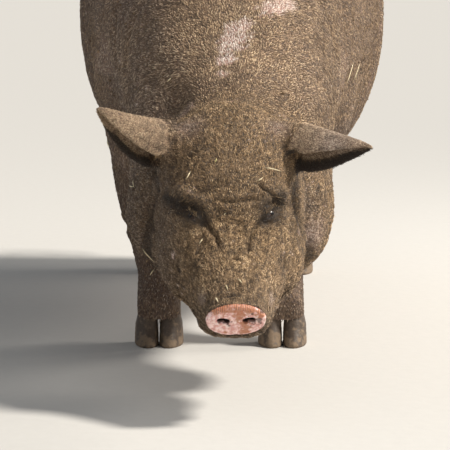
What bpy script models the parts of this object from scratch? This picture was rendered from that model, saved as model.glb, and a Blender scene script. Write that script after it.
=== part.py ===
"""A domestic pig at life size, standing on its four feet with its head lowered to drink.

Units are metres and +Z is up. The pig looks along -Y. The body is modelled whole, from lofted tubes and
rounded masses fused into one skin, and is then parted with thin cuts into the nodes that a person would name.
"""

import math
import random

import bmesh
import bpy
from mathutils import Matrix, Vector
from mathutils.bvhtree import BVHTree

GAP = 0.0003
SIDES = (("left", 1), ("right", -1))

# Fusing and thinning the skin
VOXEL = 0.006
SMOOTH_STEPS = 6
BODY_SMOOTH_STEPS = 24
SETTLE_STEPS = 2
SKIN_TRIANGLES = 4000
FACE_FINENESS = 0.0030
EAR_ACROSS = 10

# The head stands in its own frame: x across, u back along the nose, v up from the nose
SNOUT_CENTRE = Vector((0.006, 0.0, 0.159))
HEAD_PITCH = math.radians(35)
HEAD_YAW = math.radians(2.6)
HEAD_ROLL = math.radians(2.0)
DISC_DEPTH = 0.016
EYE_RADIUS = 0.0125
EYE_ACROSS = 0.061
EYE_BACK = 0.165
EYE_UP = 0.060
EYE_SUNK = 0.0135
LID_THICKNESS = 0.0040

# Rows of a tube are centre x, y, z, then half width, reach above and reach below the centre
TORSO = (
    (0.004, 0.200, 0.330, 0.060, 0.050, 0.050),
    (0.004, 0.270, 0.362, 0.125, 0.110, 0.125),
    (0.003, 0.370, 0.418, 0.158, 0.132, 0.192),
    (0.001, 0.500, 0.480, 0.182, 0.180, 0.228),
    (0.000, 0.650, 0.540, 0.218, 0.245, 0.250),
    (0.002, 0.820, 0.578, 0.260, 0.288, 0.295),
    (0.003, 1.020, 0.580, 0.292, 0.298, 0.340),
    (0.003, 1.260, 0.578, 0.302, 0.308, 0.358),
    (0.000, 1.460, 0.592, 0.288, 0.284, 0.325),
    (0.000, 1.620, 0.598, 0.255, 0.240, 0.255),
    (0.000, 1.740, 0.590, 0.200, 0.185, 0.190),
    (0.000, 1.800, 0.585, 0.095, 0.100, 0.100),
)
HEAD = (
    (0.0, 0.004, -0.001, 0.0400, 0.024, 0.027),
    (0.0, 0.018, -0.002, 0.0440, 0.031, 0.037),
    (0.0, 0.045, -0.006, 0.0525, 0.041, 0.052),
    (0.0, 0.080, -0.012, 0.0690, 0.054, 0.064),
    (0.0, 0.120, -0.016, 0.0850, 0.068, 0.074),
    (0.0, 0.160, -0.016, 0.0990, 0.086, 0.084),
    (0.0, 0.200, -0.008, 0.1080, 0.107, 0.094),
    (0.0, 0.240, 0.000, 0.1140, 0.130, 0.110),
    (0.0, 0.285, 0.004, 0.1140, 0.140, 0.120),
    (0.0, 0.330, 0.004, 0.1050, 0.134, 0.112),
    (0.0, 0.365, 0.000, 0.0700, 0.095, 0.080),
)
FORELEG = (
    (0.125, 0.800, 0.480, 0.070, 0.090, 0.090),
    (0.138, 0.775, 0.400, 0.078, 0.090, 0.090),
    (0.142, 0.755, 0.310, 0.070, 0.078, 0.076),
    (0.139, 0.737, 0.235, 0.057, 0.056, 0.056),
    (0.135, 0.730, 0.190, 0.051, 0.047, 0.051),
    (0.130, 0.732, 0.140, 0.042, 0.040, 0.041),
    (0.127, 0.730, 0.100, 0.042, 0.042, 0.039),
    (0.127, 0.716, 0.066, 0.043, 0.042, 0.042),
    (0.127, 0.704, 0.030, 0.044, 0.043, 0.043),
)
HINDLEG = (
    (0.150, 1.560, 0.560, 0.105, 0.170, 0.170),
    (0.155, 1.545, 0.450, 0.102, 0.155, 0.145),
    (0.152, 1.560, 0.360, 0.082, 0.112, 0.105),
    (0.146, 1.605, 0.290, 0.057, 0.070, 0.066),
    (0.142, 1.648, 0.235, 0.046, 0.050, 0.050),
    (0.140, 1.655, 0.180, 0.040, 0.040, 0.043),
    (0.140, 1.645, 0.130, 0.040, 0.039, 0.040),
    (0.140, 1.633, 0.098, 0.042, 0.042, 0.040),
    (0.140, 1.617, 0.066, 0.043, 0.042, 0.042),
    (0.140, 1.604, 0.030, 0.044, 0.043, 0.043),
)

# Masses are centre across, y, z, then radii and a turn about X in degrees. Each stands on both sides.
BODY_MASSES = (
    ("shoulder", (0.152, 0.750, 0.520), (0.098, 0.165, 0.240), 12),
    ("upper_arm", (0.140, 0.730, 0.365), (0.076, 0.110, 0.120), 10),
    ("brisket", (0.050, 0.600, 0.345), (0.090, 0.120, 0.090), -10),
    ("ham", (0.165, 1.600, 0.500), (0.118, 0.195, 0.250), -14),
    ("rump", (0.100, 1.600, 0.620), (0.145, 0.180, 0.190), 18),
    ("flank", (0.180, 1.400, 0.400), (0.090, 0.130, 0.110), 20),
    ("jowl", (0.088, 0.335, 0.294), (0.077, 0.135, 0.116), -26),
    ("neck_side", (0.092, 0.400, 0.375), (0.080, 0.130, 0.130), -30),
)
# These stand in the head's own frame
HEAD_MASSES = (
    ("cheek", (0.066, 0.195, -0.034), (0.050, 0.095, 0.060), 0),
    ("brow", (0.050, 0.196, 0.070), (0.044, 0.032, 0.026), 20),
    ("ear_base", (0.078, 0.287, 0.078), (0.032, 0.044, 0.050), 0),
    ("lip", (0.031, 0.066, -0.034), (0.028, 0.050, 0.026), 0),
    ("chin", (0.014, 0.058, -0.050), (0.030, 0.036, 0.020), 0),
)
LEGS = (("fore", FORELEG), ("hind", HINDLEG))
LEFT_FORE_INWARD = 0.035
TOES = ((0.0205, -0.004, 0.062), (0.0225, 0.036, 0.045), 0)

# Each ear: root in the head's frame, tip as a world step from the root, where its rolled crest points, the
# rise of its middle, and how far in degrees the front wall wraps at the root and opens towards the tip
EARS = {
    "left": ((0.080, 0.290, 0.097), (0.132, -0.075, -0.008), (0.12, 0.25, 0.95), -0.007, 128, 52),
    "right": ((-0.080, 0.290, 0.094), (-0.112, -0.075, 0.057), (0.30, 0.30, 0.95), -0.011, 135, 30),
}
EAR_SPLIT = 0.22
EAR_HEIGHT = 0.035
EAR_DEPTH = 0.021
EAR_THICKNESS = 0.0058

HOOF_TOP = 0.046
CLAW_ACROSS = 0.0225
CLAW_LENGTH = 0.082
CLAW_HALF_WIDTH = 0.0195
DEWCLAW = (0.021, 0.050, 0.088)

# The mouth runs from under the snout back to each corner, as a rise along the nose
MOUTH_FRONT = 0.062
MOUTH_HEIGHT = -0.0440
MOUTH_CORNER = 0.138
MOUTH_GROOVE = 0.0022
MOUTH_SMOOTH_STEPS = 3
LIP_RADIUS = 0.0065

TEATS = (0.88, 0.98, 1.08, 1.18, 1.28, 1.38)
TEAT_ACROSS = 0.075

TAIL_ROOT_HEIGHT = 0.705
TAIL_RADIUS = 0.014
TAIL_TIP_RADIUS = 0.0062
CURL_RADIUS = 0.030
CURL_SHIFT = 0.036
LOCKS = 8

# Where the body is parted: a point, and the way that the part beyond lies
HEAD_CUT = 0.315
TRUNK_CUTS = (
    ("chest", (0, 0.525, 0.35), (0, 1, -0.311)),
    ("belly", (0, 1.020, 0.50), (0, 1, 0.0)),
    ("rump", (0, 1.430, 0.50), (0, 1, 0.10)),
)
# Each leg is parted at an arch seen from the side: its middle and half width along the body, the height
# where its sides start to lean in, and its crown
ARCHES = {"fore": (0.768, 0.152, 0.440, 0.585), "hind": (1.660, 0.205, 0.460, 0.668)}
# How far out the inner wall of an arch stands, at a low and a high level
ARCH_WALL = ((0.300, 0.030), (0.600, 0.150))
ARCH_REACH = 0.5
KNEE = ((0, 0.730, 0.205), (0, -0.05, -1))
HOCK = ((0, 1.650, 0.215), (0, -0.10, -1))

COLOURS = {
    "hide": (0.42, 0.31, 0.21),
    "snout": (0.78, 0.45, 0.38),
    "ear": (0.45, 0.33, 0.23),
    "horn": (0.16, 0.12, 0.09),
    "eye": (0.03, 0.02, 0.015),
    "tail": (0.44, 0.32, 0.22),
}
ROUGHNESS = {"eye": 0.08, "horn": 0.55, "snout": 0.45}


def clear_scene():
    for obj in list(bpy.data.objects):
        bpy.data.objects.remove(obj, do_unlink=True)


def material(name, kind):
    made = bpy.data.materials.new(name)
    made.use_nodes = True
    shader = made.node_tree.nodes["Principled BSDF"]
    shader.inputs["Base Color"].default_value = (*COLOURS[kind], 1.0)
    shader.inputs["Roughness"].default_value = ROUGHNESS.get(kind, 0.8)
    shader.inputs["Metallic"].default_value = 0.0
    return made


def to_object(name, mesh):
    bmesh.ops.recalc_face_normals(mesh, faces=mesh.faces)
    bmesh.ops.triangulate(mesh, faces=mesh.faces)
    data = bpy.data.meshes.new(name)
    mesh.to_mesh(data)
    mesh.free()
    obj = bpy.data.objects.new(name, data)
    bpy.context.scene.collection.objects.link(obj)
    return obj


def head_frame():
    """The matrix from the head's own frame (x, u, v) to the world."""
    turn = Matrix.Rotation(HEAD_YAW, 4, "Z") @ Matrix.Rotation(HEAD_PITCH, 4, "X")
    return Matrix.Translation(SNOUT_CENTRE) @ turn @ Matrix.Rotation(-HEAD_ROLL, 4, "Y")


def smooth_rows(rows, steps):
    """Rows read from a Catmull-Rom curve through the given ones, steps to each span."""
    padded = [rows[0], *rows, rows[-1]]
    found = []
    for i in range(len(rows) - 1):
        for k in range(steps):
            found.append(tuple(between(*values, k / steps) for values in zip(*padded[i : i + 4])))
    found.append(tuple(rows[-1]))
    return found


def between(a, b, c, d, t):
    """A value on the smooth curve from b to c."""
    return b + 0.5 * t * (c - a + t * (2 * a - 5 * b + 4 * c - d + t * (3 * (b - c) + d - a)))


def loft(name, rings):
    """A closed surface through rings of points, with a flat cap on each end."""
    mesh = bmesh.new()
    made = [[mesh.verts.new(point) for point in ring] for ring in rings]
    for one, two in zip(made, made[1:]):
        for k in range(len(one)):
            n = (k + 1) % len(one)
            mesh.faces.new((one[k], one[n], two[n], two[k]))
    mesh.faces.new(made[0])
    mesh.faces.new(made[-1])
    return to_object(name, mesh)


def tube(name, rows, frame=None, mirror=1, steps=4, around=40, square=2.0):
    """A closed loft through the rows, each ring square to the path of the centres."""
    frame = frame or Matrix.Identity(4)
    rows = smooth_rows(rows, steps)
    rings = []
    for i, (x, y, z, width, above, below) in enumerate(rows):
        before, after = rows[max(i - 1, 0)], rows[min(i + 1, len(rows) - 1)]
        along = Vector((0, after[1] - before[1], after[2] - before[2])).normalized()
        up = Vector((0, -along.z, along.y))
        ring = []
        for k in range(around):
            c, s = math.cos(math.tau * k / around), math.sin(math.tau * k / around)
            across = math.copysign(abs(c) ** (2 / square), c) * width
            rise = math.copysign(abs(s) ** (2 / square), s) * (above if s > 0 else below)
            point = Vector((x + across, y, z)) + up * rise
            point.x *= mirror
            ring.append(frame @ point)
        rings.append(ring)
    return loft(name, rings)


def ball(name, centre, radii, turn=0.0, frame=None, mirror=1, fine=24):
    """An ellipsoid, turned by some degrees about X."""
    mesh = bmesh.new()
    bmesh.ops.create_uvsphere(mesh, u_segments=fine, v_segments=fine // 2, radius=1.0)
    place = (
        (frame or Matrix.Identity(4))
        @ Matrix.Translation((centre[0] * mirror, centre[1], centre[2]))
        @ Matrix.Rotation(math.radians(turn), 4, "X")
        @ Matrix.Diagonal((*radii, 1.0))
    )
    bmesh.ops.transform(mesh, matrix=place, verts=mesh.verts)
    return to_object(name, mesh)


def cord(name, points, radii, sides=8):
    """A round bar of changing radius along the points."""
    points = [Vector(point) for point in points]
    rings = []
    side = Vector((0.3, 0.2, 1.0))
    for i, (point, radius) in enumerate(zip(points, radii)):
        along = (points[min(i + 1, len(points) - 1)] - points[max(i - 1, 0)]).normalized()
        side = (side - along * side.dot(along)).normalized()
        other = along.cross(side)
        angles = [math.tau * k / sides for k in range(sides)]
        rings.append([point + (side * math.cos(a) + other * math.sin(a)) * radius for a in angles])
    return loft(name, rings)


def swell(obj, distance):
    """Moves every face of a closed surface outwards by the distance."""
    mesh = bmesh.new()
    mesh.from_mesh(obj.data)
    mesh.normal_update()
    steps = [vert.normal * distance * vert.calc_shell_factor() for vert in mesh.verts]
    for vert, step in zip(mesh.verts, steps):
        vert.co += step
    mesh.to_mesh(obj.data)
    mesh.free()
    return obj


def apply_modifiers(obj):
    bpy.context.view_layer.update()
    mesh = bpy.data.meshes.new_from_object(obj.evaluated_get(bpy.context.evaluated_depsgraph_get()))
    obj.modifiers.clear()
    old, obj.data = obj.data, mesh
    bpy.data.meshes.remove(old)
    return obj


def is_closed(mesh):
    """Whether every edge of the mesh has exactly two faces."""
    shared = {}
    for polygon in mesh.polygons:
        for key in polygon.edge_keys:
            shared[key] = shared.get(key, 0) + 1
    return all(count == 2 for count in shared.values())


def boolean(obj, operation, others):
    """Applies one Boolean with all the others and removes them.

    The manifold solver follows where the exact one leaves an open edge.
    """
    group = bpy.data.collections.new("operands")
    for other in others:
        group.objects.link(other)
    before = obj.data
    for solver in ("EXACT", "MANIFOLD"):
        obj.data = before.copy()
        modifier = obj.modifiers.new(operation.lower(), "BOOLEAN")
        modifier.operation = operation
        modifier.solver = solver
        if len(others) == 1:
            modifier.object = others[0]
        else:
            modifier.operand_type = "COLLECTION"
            modifier.collection = group
        apply_modifiers(obj)
        keep_largest(obj)
        if is_closed(obj.data):
            break
    bpy.data.meshes.remove(before)
    for other in others:
        bpy.data.objects.remove(other, do_unlink=True)
    bpy.data.collections.remove(group)
    return obj


def keep_largest(obj):
    """Leaves only the largest closed surface of the object."""
    mesh = bmesh.new()
    mesh.from_mesh(obj.data)
    bmesh.ops.remove_doubles(mesh, verts=mesh.verts, dist=2e-6)
    bmesh.ops.dissolve_degenerate(mesh, dist=2e-6, edges=mesh.edges)
    left = set(mesh.verts)
    islands = []
    while left:
        island, front = set(), [left.pop()]
        while front:
            vert = front.pop()
            island.add(vert)
            for edge in vert.link_edges:
                other = edge.other_vert(vert)
                if other in left:
                    left.remove(other)
                    front.append(other)
        islands.append(island)
    islands.sort(key=len)
    stray = [vert for island in islands[:-1] for vert in island]
    bmesh.ops.delete(mesh, geom=stray, context="VERTS")
    mesh.to_mesh(obj.data)
    mesh.free()
    return obj


def copy_of(obj, name):
    made = obj.copy()
    made.data = obj.data.copy()
    made.name = name
    bpy.context.scene.collection.objects.link(made)
    return made


def half_space(point, normal, step, size=4.0):
    """A large block whose face stands at the point, moved on by the step, and which lies beyond it."""
    normal = Vector(normal).normalized()
    mesh = bmesh.new()
    bmesh.ops.create_cube(mesh, size=size)
    turn = normal.to_track_quat("Z", "Y").to_matrix().to_4x4()
    centre = Vector(point) + normal * (step + size / 2)
    bmesh.ops.transform(mesh, matrix=Matrix.Translation(centre) @ turn, verts=mesh.verts)
    return to_object("block", mesh)


def arch(place, mirror):
    """A block that holds one leg, up to the arch where it is parted from the body."""
    middle, half, spring, crown = ARCHES[place]
    (low, near), (high, far) = ARCH_WALL
    rows = [(-0.05, half), (low, half)]
    for k in range(8):
        turn = math.radians(12 * k)
        rows.append((spring + (crown - spring) * math.sin(turn), half * math.cos(turn)))
    rings = []
    for z, wide in rows:
        wall = near + (far - near) * min(1.0, max(0.0, (z - low) / (high - low)))
        corners = ((wall, -wide), (ARCH_REACH, -wide), (ARCH_REACH, wide), (wall, wide))
        rings.append([Vector((x * mirror, middle + y, z)) for x, y in corners])
    return loft("block", rings)


def part_off(obj, name, point, normal):
    """Parts the object at a plane and returns what lies beyond it, one gap away."""
    beyond = copy_of(obj, name)
    boolean(beyond, "INTERSECT", [half_space(point, normal, GAP / 2)])
    boolean(obj, "DIFFERENCE", [half_space(point, normal, -GAP / 2)])
    return beyond


def triangle_count(mesh):
    mesh.calc_loop_triangles()
    return len(mesh.loop_triangles)


def fuse(name, pieces):
    """One skin round all the pieces, with its joins smoothed and its triangles thinned away from the face."""
    joined = bmesh.new()
    for piece in pieces:
        joined.from_mesh(piece.data)
        bpy.data.objects.remove(piece)
    skin = to_object(name, joined)
    remesh = skin.modifiers.new("remesh", "REMESH")
    remesh.mode = "VOXEL"
    remesh.voxel_size = VOXEL
    smooth = skin.modifiers.new("smooth", "SMOOTH")
    smooth.factor = 0.5
    smooth.iterations = SMOOTH_STEPS
    apply_modifiers(skin)
    body = skin.vertex_groups.new(name="body")
    frame = head_frame().inverted()
    for vert in skin.data.vertices:
        back = (frame @ vert.co).y
        body.add([vert.index], min(1.0, max(0.01, (back - 0.22) / 0.20)), "REPLACE")
    relax = skin.modifiers.new("relax", "SMOOTH")
    relax.factor = 0.5
    relax.iterations = BODY_SMOOTH_STEPS
    relax.vertex_group = "body"
    apply_modifiers(skin)
    thin = skin.modifiers.new("thin", "DECIMATE")
    thin.ratio = SKIN_TRIANGLES / triangle_count(skin.data)
    thin.vertex_group = "body"
    thin.vertex_group_factor = FACE_FINENESS
    settle = skin.modifiers.new("settle", "SMOOTH")
    settle.factor = 0.4
    settle.iterations = SETTLE_STEPS
    settle.vertex_group = "body"
    apply_modifiers(skin)
    skin.vertex_groups.clear()
    return skin


def inward(side, place, z):
    """How far a point of a leg is moved across: the left foreleg stands further under the body."""
    if (side, place) != ("left", "fore"):
        return 0.0
    return -LEFT_FORE_INWARD * min(1.0, max(0.0, (0.62 - z) / 0.26))


def placed(rows, side, place):
    return [(x + inward(side, place, z), y, z, *reach) for x, y, z, *reach in rows]


def build_skin():
    frame = head_frame()
    pieces = [tube("torso", TORSO, square=2.2), tube("head", HEAD, frame, square=2.25)]
    for side, mirror in SIDES:
        for place, rows in LEGS:
            leg = placed(rows, side, place)
            pieces.append(tube("leg", leg, mirror=mirror, around=28))
            x, y, _ = leg[-1][:3]
            (across, forward, height), radii, turn = TOES
            for toe in (-across, across):
                pieces.append(ball("toe", (x + toe, y + forward, height), radii, turn, mirror=mirror))
        for name, (x, y, z), radii, turn in BODY_MASSES:
            step = inward(side, "fore" if y < 1 else "hind", z) if name in ("shoulder", "upper_arm") else 0.0
            pieces.append(ball(name, (x + step, y, z), radii, turn, mirror=mirror))
        for name, centre, radii, turn in HEAD_MASSES:
            pieces.append(ball(name, centre, radii, turn, frame, mirror))
    return fuse("skin", pieces)


def surface(obj):
    mesh = bmesh.new()
    mesh.from_mesh(obj.data)
    tree = BVHTree.FromBMesh(mesh)
    mesh.free()
    return tree


def strike(tree, origin, way):
    """The point and the normal where a line first meets the surface."""
    point, normal, _, _ = tree.ray_cast(Vector(origin), Vector(way).normalized())
    return point, normal


def ear_ring(side, s):
    """The C-shaped section of the ear at a share s of its length, as outer and inner points, and its rims."""
    root, step, crest, lift, wrap, opening = EARS[side]
    start, step, crest = head_frame() @ Vector(root), Vector(step), Vector(crest).normalized()
    middle = start + step * 0.5 + crest * lift * 2 - Vector((0, 0.014, 0))
    end = start + step
    if s < 0:
        along = (middle - start).normalized()
        centre = start + along * (2 * (middle - start).length * s)
    else:
        centre = start * (1 - s) ** 2 + middle * 2 * s * (1 - s) + end * s**2
        along = ((middle - start) * (1 - s) + (end - middle) * s).normalized()
    top = (crest - along * crest.dot(along)).normalized()
    front = top.cross(along) if side == "right" else along.cross(top)
    if front.y > 0:
        front = -front
    share = max(s, 0.0)
    full = min(1.0, 0.86 + 0.7 * share) * max(0.0, 1 - share**2.0) ** 0.8
    height = EAR_HEIGHT * full + 0.004
    depth = EAR_DEPTH * min(1.0, 0.85 + share) * max(0.0, 1 - share**2) ** 0.7 + 0.004
    thick = EAR_THICKNESS * (1 - 0.50 * share)
    reach_front = math.radians(wrap - opening * share)
    reach_back = -math.radians(165 - 55 * share)
    centre = centre - top * (height - 0.004) * 0.10

    def at(angle, inset):
        hanging = angle < 0 and math.cos(angle) < 0
        lobe = 1.0 + 0.22 * math.sin(math.pi * min(1.0, share * 1.15)) * hanging
        across = front * (depth - inset) * math.sin(angle)
        return centre + across + top * (height * lobe - inset) * math.cos(angle)

    angles = [reach_front + (reach_back - reach_front) * k / (EAR_ACROSS - 1) for k in range(EAR_ACROSS)]
    outer = [at(angle, 0.0) for angle in angles]
    inner = [at(angle, thick) for angle in angles]
    return outer, inner


def ear_piece(name, side, first, last, count):
    """A length of the ear's shell, from one share of its length to another."""
    mesh = bmesh.new()
    rings = []
    for i in range(count):
        outer, inner = ear_ring(side, first + (last - first) * i / (count - 1))
        rings.append([mesh.verts.new(point) for point in outer + inner[::-1]])
    size = len(rings[0])
    for one, two in zip(rings, rings[1:]):
        for k in range(size):
            n = (k + 1) % size
            mesh.faces.new((one[k], one[n], two[n], two[k]))
    for ring in (rings[0], rings[-1]):
        for k in range(EAR_ACROSS - 1):
            mesh.faces.new((ring[k], ring[k + 1], ring[size - 2 - k], ring[size - 1 - k]))
    return to_object(name, mesh)


def eye_frame(tree, mirror):
    """A frame at the middle of an eye: across its slit, out of the head, and up from the slit."""
    frame = head_frame()
    aim = frame @ Vector((EYE_ACROSS * mirror, EYE_BACK, EYE_UP))
    point, _ = strike(tree, (aim.x, -1.0, aim.z), (0, 1, 0))
    gaze = Vector((0.55 * mirror, -0.72, 0.42)).normalized()
    across = (Vector((0, 0, 1)).cross(gaze)).normalized()
    up = gaze.cross(across)
    slant = Matrix.Rotation(math.radians(30) * mirror, 3, gaze)
    turn = Matrix((slant @ across, gaze, slant @ up)).transposed().to_4x4()
    return Matrix.Translation(point - gaze * EYE_SUNK) @ turn


def mouth_line(tree):
    """Points of the mouth on the skin, from the left corner round the front of the chin to the right one."""
    frame = head_frame()
    turn = frame.to_3x3()
    found = []
    for k in range(-5, 6):
        angle = math.radians(18 * k)
        out = Vector((-math.sin(angle), -math.cos(angle), 0))
        point, _ = strike(tree, frame @ (Vector((0, MOUTH_FRONT, MOUTH_HEIGHT)) + out * 0.3), turn @ -out)
        found.append(point)
    for k in range(1, 7):
        share = k / 6
        back = MOUTH_FRONT + (MOUTH_CORNER - MOUTH_FRONT) * share
        height = MOUTH_HEIGHT - 0.010 * math.sin(math.pi * share) + 0.006 * share**3
        for mirror in (1, -1):
            origin = frame @ Vector((0.3 * mirror, back, height))
            point, _ = strike(tree, origin, turn @ Vector((-mirror, 0, 0)))
            found.insert(0 if mirror == 1 else len(found), point)
    for _ in range(MOUTH_SMOOTH_STEPS):
        inner = [(a + 2 * b + c) / 4 for a, b, c in zip(found, found[1:], found[2:])]
        found = [found[0], *inner, found[-1]]
    return [tree.find_nearest(point)[0] for point in found]


def globe(name, eye, more=0.0):
    """The ball of an eye, or one that is larger by some more."""
    return ball(name, (0, 0, 0), (EYE_RADIUS + more,) * 3, frame=eye, fine=16)


def lid_arc(eye, rise, radius):
    """The edge of one lid: a cord over the globe from corner to corner of the eye."""
    points = []
    radii = []
    for k in range(9):
        share = k / 4 - 1
        turn, lift = math.radians(52 * share), math.radians(rise * (1 - share * share))
        reach = EYE_RADIUS + LID_THICKNESS - 0.0006
        way = Vector((math.sin(turn) * math.cos(lift), math.cos(turn) * math.cos(lift), math.sin(lift)))
        points.append(eye @ (way * reach))
        radii.append(radius * (1 - 0.55 * share * share))
    return cord("lid", points, radii, sides=7)


def add_head_features(head):
    """Gives the skin the ears' roots, the lids with their slits, and the lips with the line of the mouth."""
    tree = surface(head)
    frame = head_frame()
    boolean(head, "UNION", [ear_piece("stub", side, -0.10, EAR_SPLIT, 4) for side, _ in SIDES])
    eyes = [eye_frame(tree, mirror) for _, mirror in SIDES]
    boolean(head, "UNION", [globe("lids", eye, LID_THICKNESS) for eye in eyes])
    for rise, radius in ((23, 0.0030), (-19, 0.0022)):
        boolean(head, "UNION", [lid_arc(eye, rise, radius) for eye in eyes])
    line = mouth_line(tree)
    inside = frame @ Vector((0, 0.10, -0.02))
    lips = []
    for rise in (0.0085, -0.0085):
        shifted = [point + frame.to_3x3() @ Vector((0, 0, rise)) for point in line]
        shifted = [point + (inside - point).normalized() * LIP_RADIUS * 0.55 for point in shifted]
        ends = len(shifted) - 1
        radii = [LIP_RADIUS * (0.35 + 0.65 * min(1.0, 4 * min(i, ends - i) / ends)) for i in range(ends + 1)]
        lips.append(cord("lip", shifted, radii, sides=8))
    boolean(head, "UNION", lips[:1])
    boolean(head, "UNION", lips[1:])
    cuts = [cord("mouth", line, [MOUTH_GROOVE] * len(line), sides=6)]
    for eye, (_, mirror) in zip(eyes, SIDES):
        slit = (
            (0.0, 0.002, 0.0, 0.0118, 0.0046, 0.0040),
            (0.0, 0.014, 0.0, 0.0122, 0.0050, 0.0042),
            (0.0, 0.040, 0.0, 0.0140, 0.0062, 0.0052),
        )
        cuts.append(tube("slit", slit, frame=eye, steps=1, around=20, square=1.5))
    boolean(head, "DIFFERENCE", cuts[:1])
    boolean(head, "DIFFERENCE", cuts[1:])
    boolean(head, "DIFFERENCE", [globe("socket", eye, GAP) for eye in eyes])
    return eyes


def build_disc():
    """The snout's end disc, with a raised rim along its top, a notch below and two nostrils."""
    frame = head_frame()
    back = DISC_DEPTH
    rows = (
        (0.0, 0.0000, -0.001, 0.0370, 0.0210, 0.0250),
        (0.0, 0.0014, -0.001, 0.0418, 0.0250, 0.0288),
        (0.0, 0.0048, -0.001, 0.0440, 0.0268, 0.0308),
        (0.0, 0.0100, -0.001, 0.0436, 0.0268, 0.0306),
        (0.0, back, -0.001, 0.0420, 0.0262, 0.0296),
    )
    disc = tube("snout_disc", rows, frame=frame, steps=1, around=32, square=2.35)
    rim = []
    for k in range(17):
        angle = math.radians(8 + 164 * k / 16)
        rim.append(frame @ Vector((0.0405 * math.cos(angle), 0.0050, 0.0238 * math.sin(angle) - 0.001)))
    radii = [0.0024 + 0.0014 * math.sin(math.pi * k / 16) for k in range(17)]
    boolean(disc, "UNION", [cord("rim", rim, radii, sides=6)])
    cuts = [ball("philtrum", (0, 0.0, -0.034), (0.0035, 0.010, 0.0065), frame=frame, fine=10)]
    for _, mirror in SIDES:
        hole = frame @ Matrix.Translation((0.0195 * mirror, 0.0, 0.0005))
        hole = hole @ Matrix.Rotation(0.14 * mirror, 4, "Y")
        cuts.append(ball("nostril", (0, 0, 0), (0.0092, 0.0120, 0.0042), frame=hole, fine=16))
        wing = frame @ Matrix.Translation((0.0134 * mirror, 0.0, -0.0019))
        cuts.append(ball("nostril", (0, 0, 0), (0.0050, 0.0104, 0.0054), turn=7, frame=wing, fine=12))
    for cut in cuts:
        boolean(disc, "DIFFERENCE", [cut])
    return disc


def build_claw(name, centre, outward):
    """One claw: a flat sole, a pointed toe, a flat inner side and walls that lean back to a flat top."""
    top = HOOF_TOP - GAP
    rows = ((0.0, 0.93, 0.0), (0.0035, 1.0, 0.0), (0.5 * top, 0.97, 0.5), (top, 0.90, 1.0))
    place = Matrix.Translation(centre) @ Matrix.Rotation(math.radians(-4) * outward, 4, "Z")
    rings = []
    for z, size, rise in rows:
        ring = []
        for k in range(16):
            c, s = math.cos(math.tau * k / 16), math.sin(math.tau * k / 16)
            wide = CLAW_HALF_WIDTH * (1.05 if c * outward > 0 else 0.86)
            x = math.copysign(abs(c) ** 0.85, c) * wide * (1 - 0.30 * max(0.0, -s) ** 2)
            y = s * CLAW_LENGTH * (0.60 - 0.14 * rise if s < 0 else 0.40 + 0.04 * rise)
            ring.append(place @ Vector((x * size, y * size, z)))
        rings.append(ring)
    return loft(name, rings)


def dewclaw(name, x, y):
    """A dewclaw: a blunt cone that hangs behind the pastern, with its root in the flesh."""
    out = 1 if x > 0 else -1
    rows = ((0, 0, 0.000, 0.0100, 0.0085, 0.0085), (0, 0, 0.010, 0.0122, 0.0100, 0.0100))
    rows += ((0, 0, 0.026, 0.0102, 0.0085, 0.0085), (0, 0, 0.036, 0.0052, 0.0046, 0.0046))
    tilt = Matrix.Rotation(math.radians(-128), 4, "X") @ Matrix.Rotation(math.radians(10) * out, 4, "Y")
    place = Matrix.Translation((x, y, DEWCLAW[2])) @ tilt @ Matrix.Translation((0, 0, -0.012))
    return tube(name, rows, frame=place, steps=1, around=10)


def tail_path(root):
    """Points of the tail from inside the rump, down, once round a curl and down to the tip."""
    points = [root + Vector((0, -0.030, 0.004)), root + Vector((0, -0.012, 0.003))]
    bend = [Vector((0, *pair)) for pair in ((0, 0), (0.055, 0.012), (0.085, -0.035), (0.088, -0.100))]
    for k in range(9):
        t = k / 8
        a, b, c, d = bend
        points.append(root + a * (1 - t) ** 3 + b * 3 * t * (1 - t) ** 2 + c * 3 * t**2 * (1 - t) + d * t**3)
    hub = root + Vector((0, 0.088 - CURL_RADIUS, -0.100))
    for k in range(1, 21):
        angle = -math.tau * k / 20
        across = CURL_SHIFT * (k / 20) ** 1.2
        points.append(hub + Vector((across, CURL_RADIUS * math.cos(angle), CURL_RADIUS * math.sin(angle))))
    last = points[-1]
    for k in range(1, 7):
        points.append(last + Vector((0.002 * k, -0.0006 * k * k, -0.0095 * k)))
    return points


def build_tail(body):
    """The tail in three lengths, with a stub on the body and flat locks of hair at the tip."""
    root, _ = strike(surface(body), (0, 4.0, TAIL_ROOT_HEIGHT), (0, -1, 0))
    points = tail_path(root)
    last = len(points) - 1
    radii = [TAIL_RADIUS + (TAIL_TIP_RADIUS - TAIL_RADIUS) * (i / last) ** 0.8 for i in range(last + 1)]
    radii[0] *= 1.7
    radii[1] *= 1.45
    radii[2] *= 1.15
    ends = (0, 4, 14, 24, last)
    pieces = []
    side = Vector((1, 0, 0))
    for name, first, end in zip(("stub", "tail_base", "tail_curl", "tail_tip"), ends, ends[1:]):
        path = [point.copy() for point in points[first : end + 1]]
        if first:
            path[0] += (path[1] - path[0]).normalized() * GAP
        pieces.append(square_cord(name, path, radii[first : end + 1], points, first, end))
    boolean(body, "UNION", pieces[:1])
    tip = points[-1]
    down = (points[-1] - points[-3]).normalized()
    spin = random.Random(11)
    locks = []
    for k in range(LOCKS):
        angle = math.tau * k / LOCKS + spin.uniform(-0.2, 0.2)
        out = Vector((math.cos(angle), math.sin(angle), 0.0))
        out = (out - down * out.dot(down)).normalized()
        start = tip - down * spin.uniform(0.010, 0.034) + out * TAIL_TIP_RADIUS * 0.55
        end = tip + down * spin.uniform(0.040, 0.066) + out * spin.uniform(0.006, 0.020)
        locks.append(lock(start, end, out, 0.0052))
    boolean(pieces[3], "UNION", locks)
    return pieces[1:]


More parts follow.
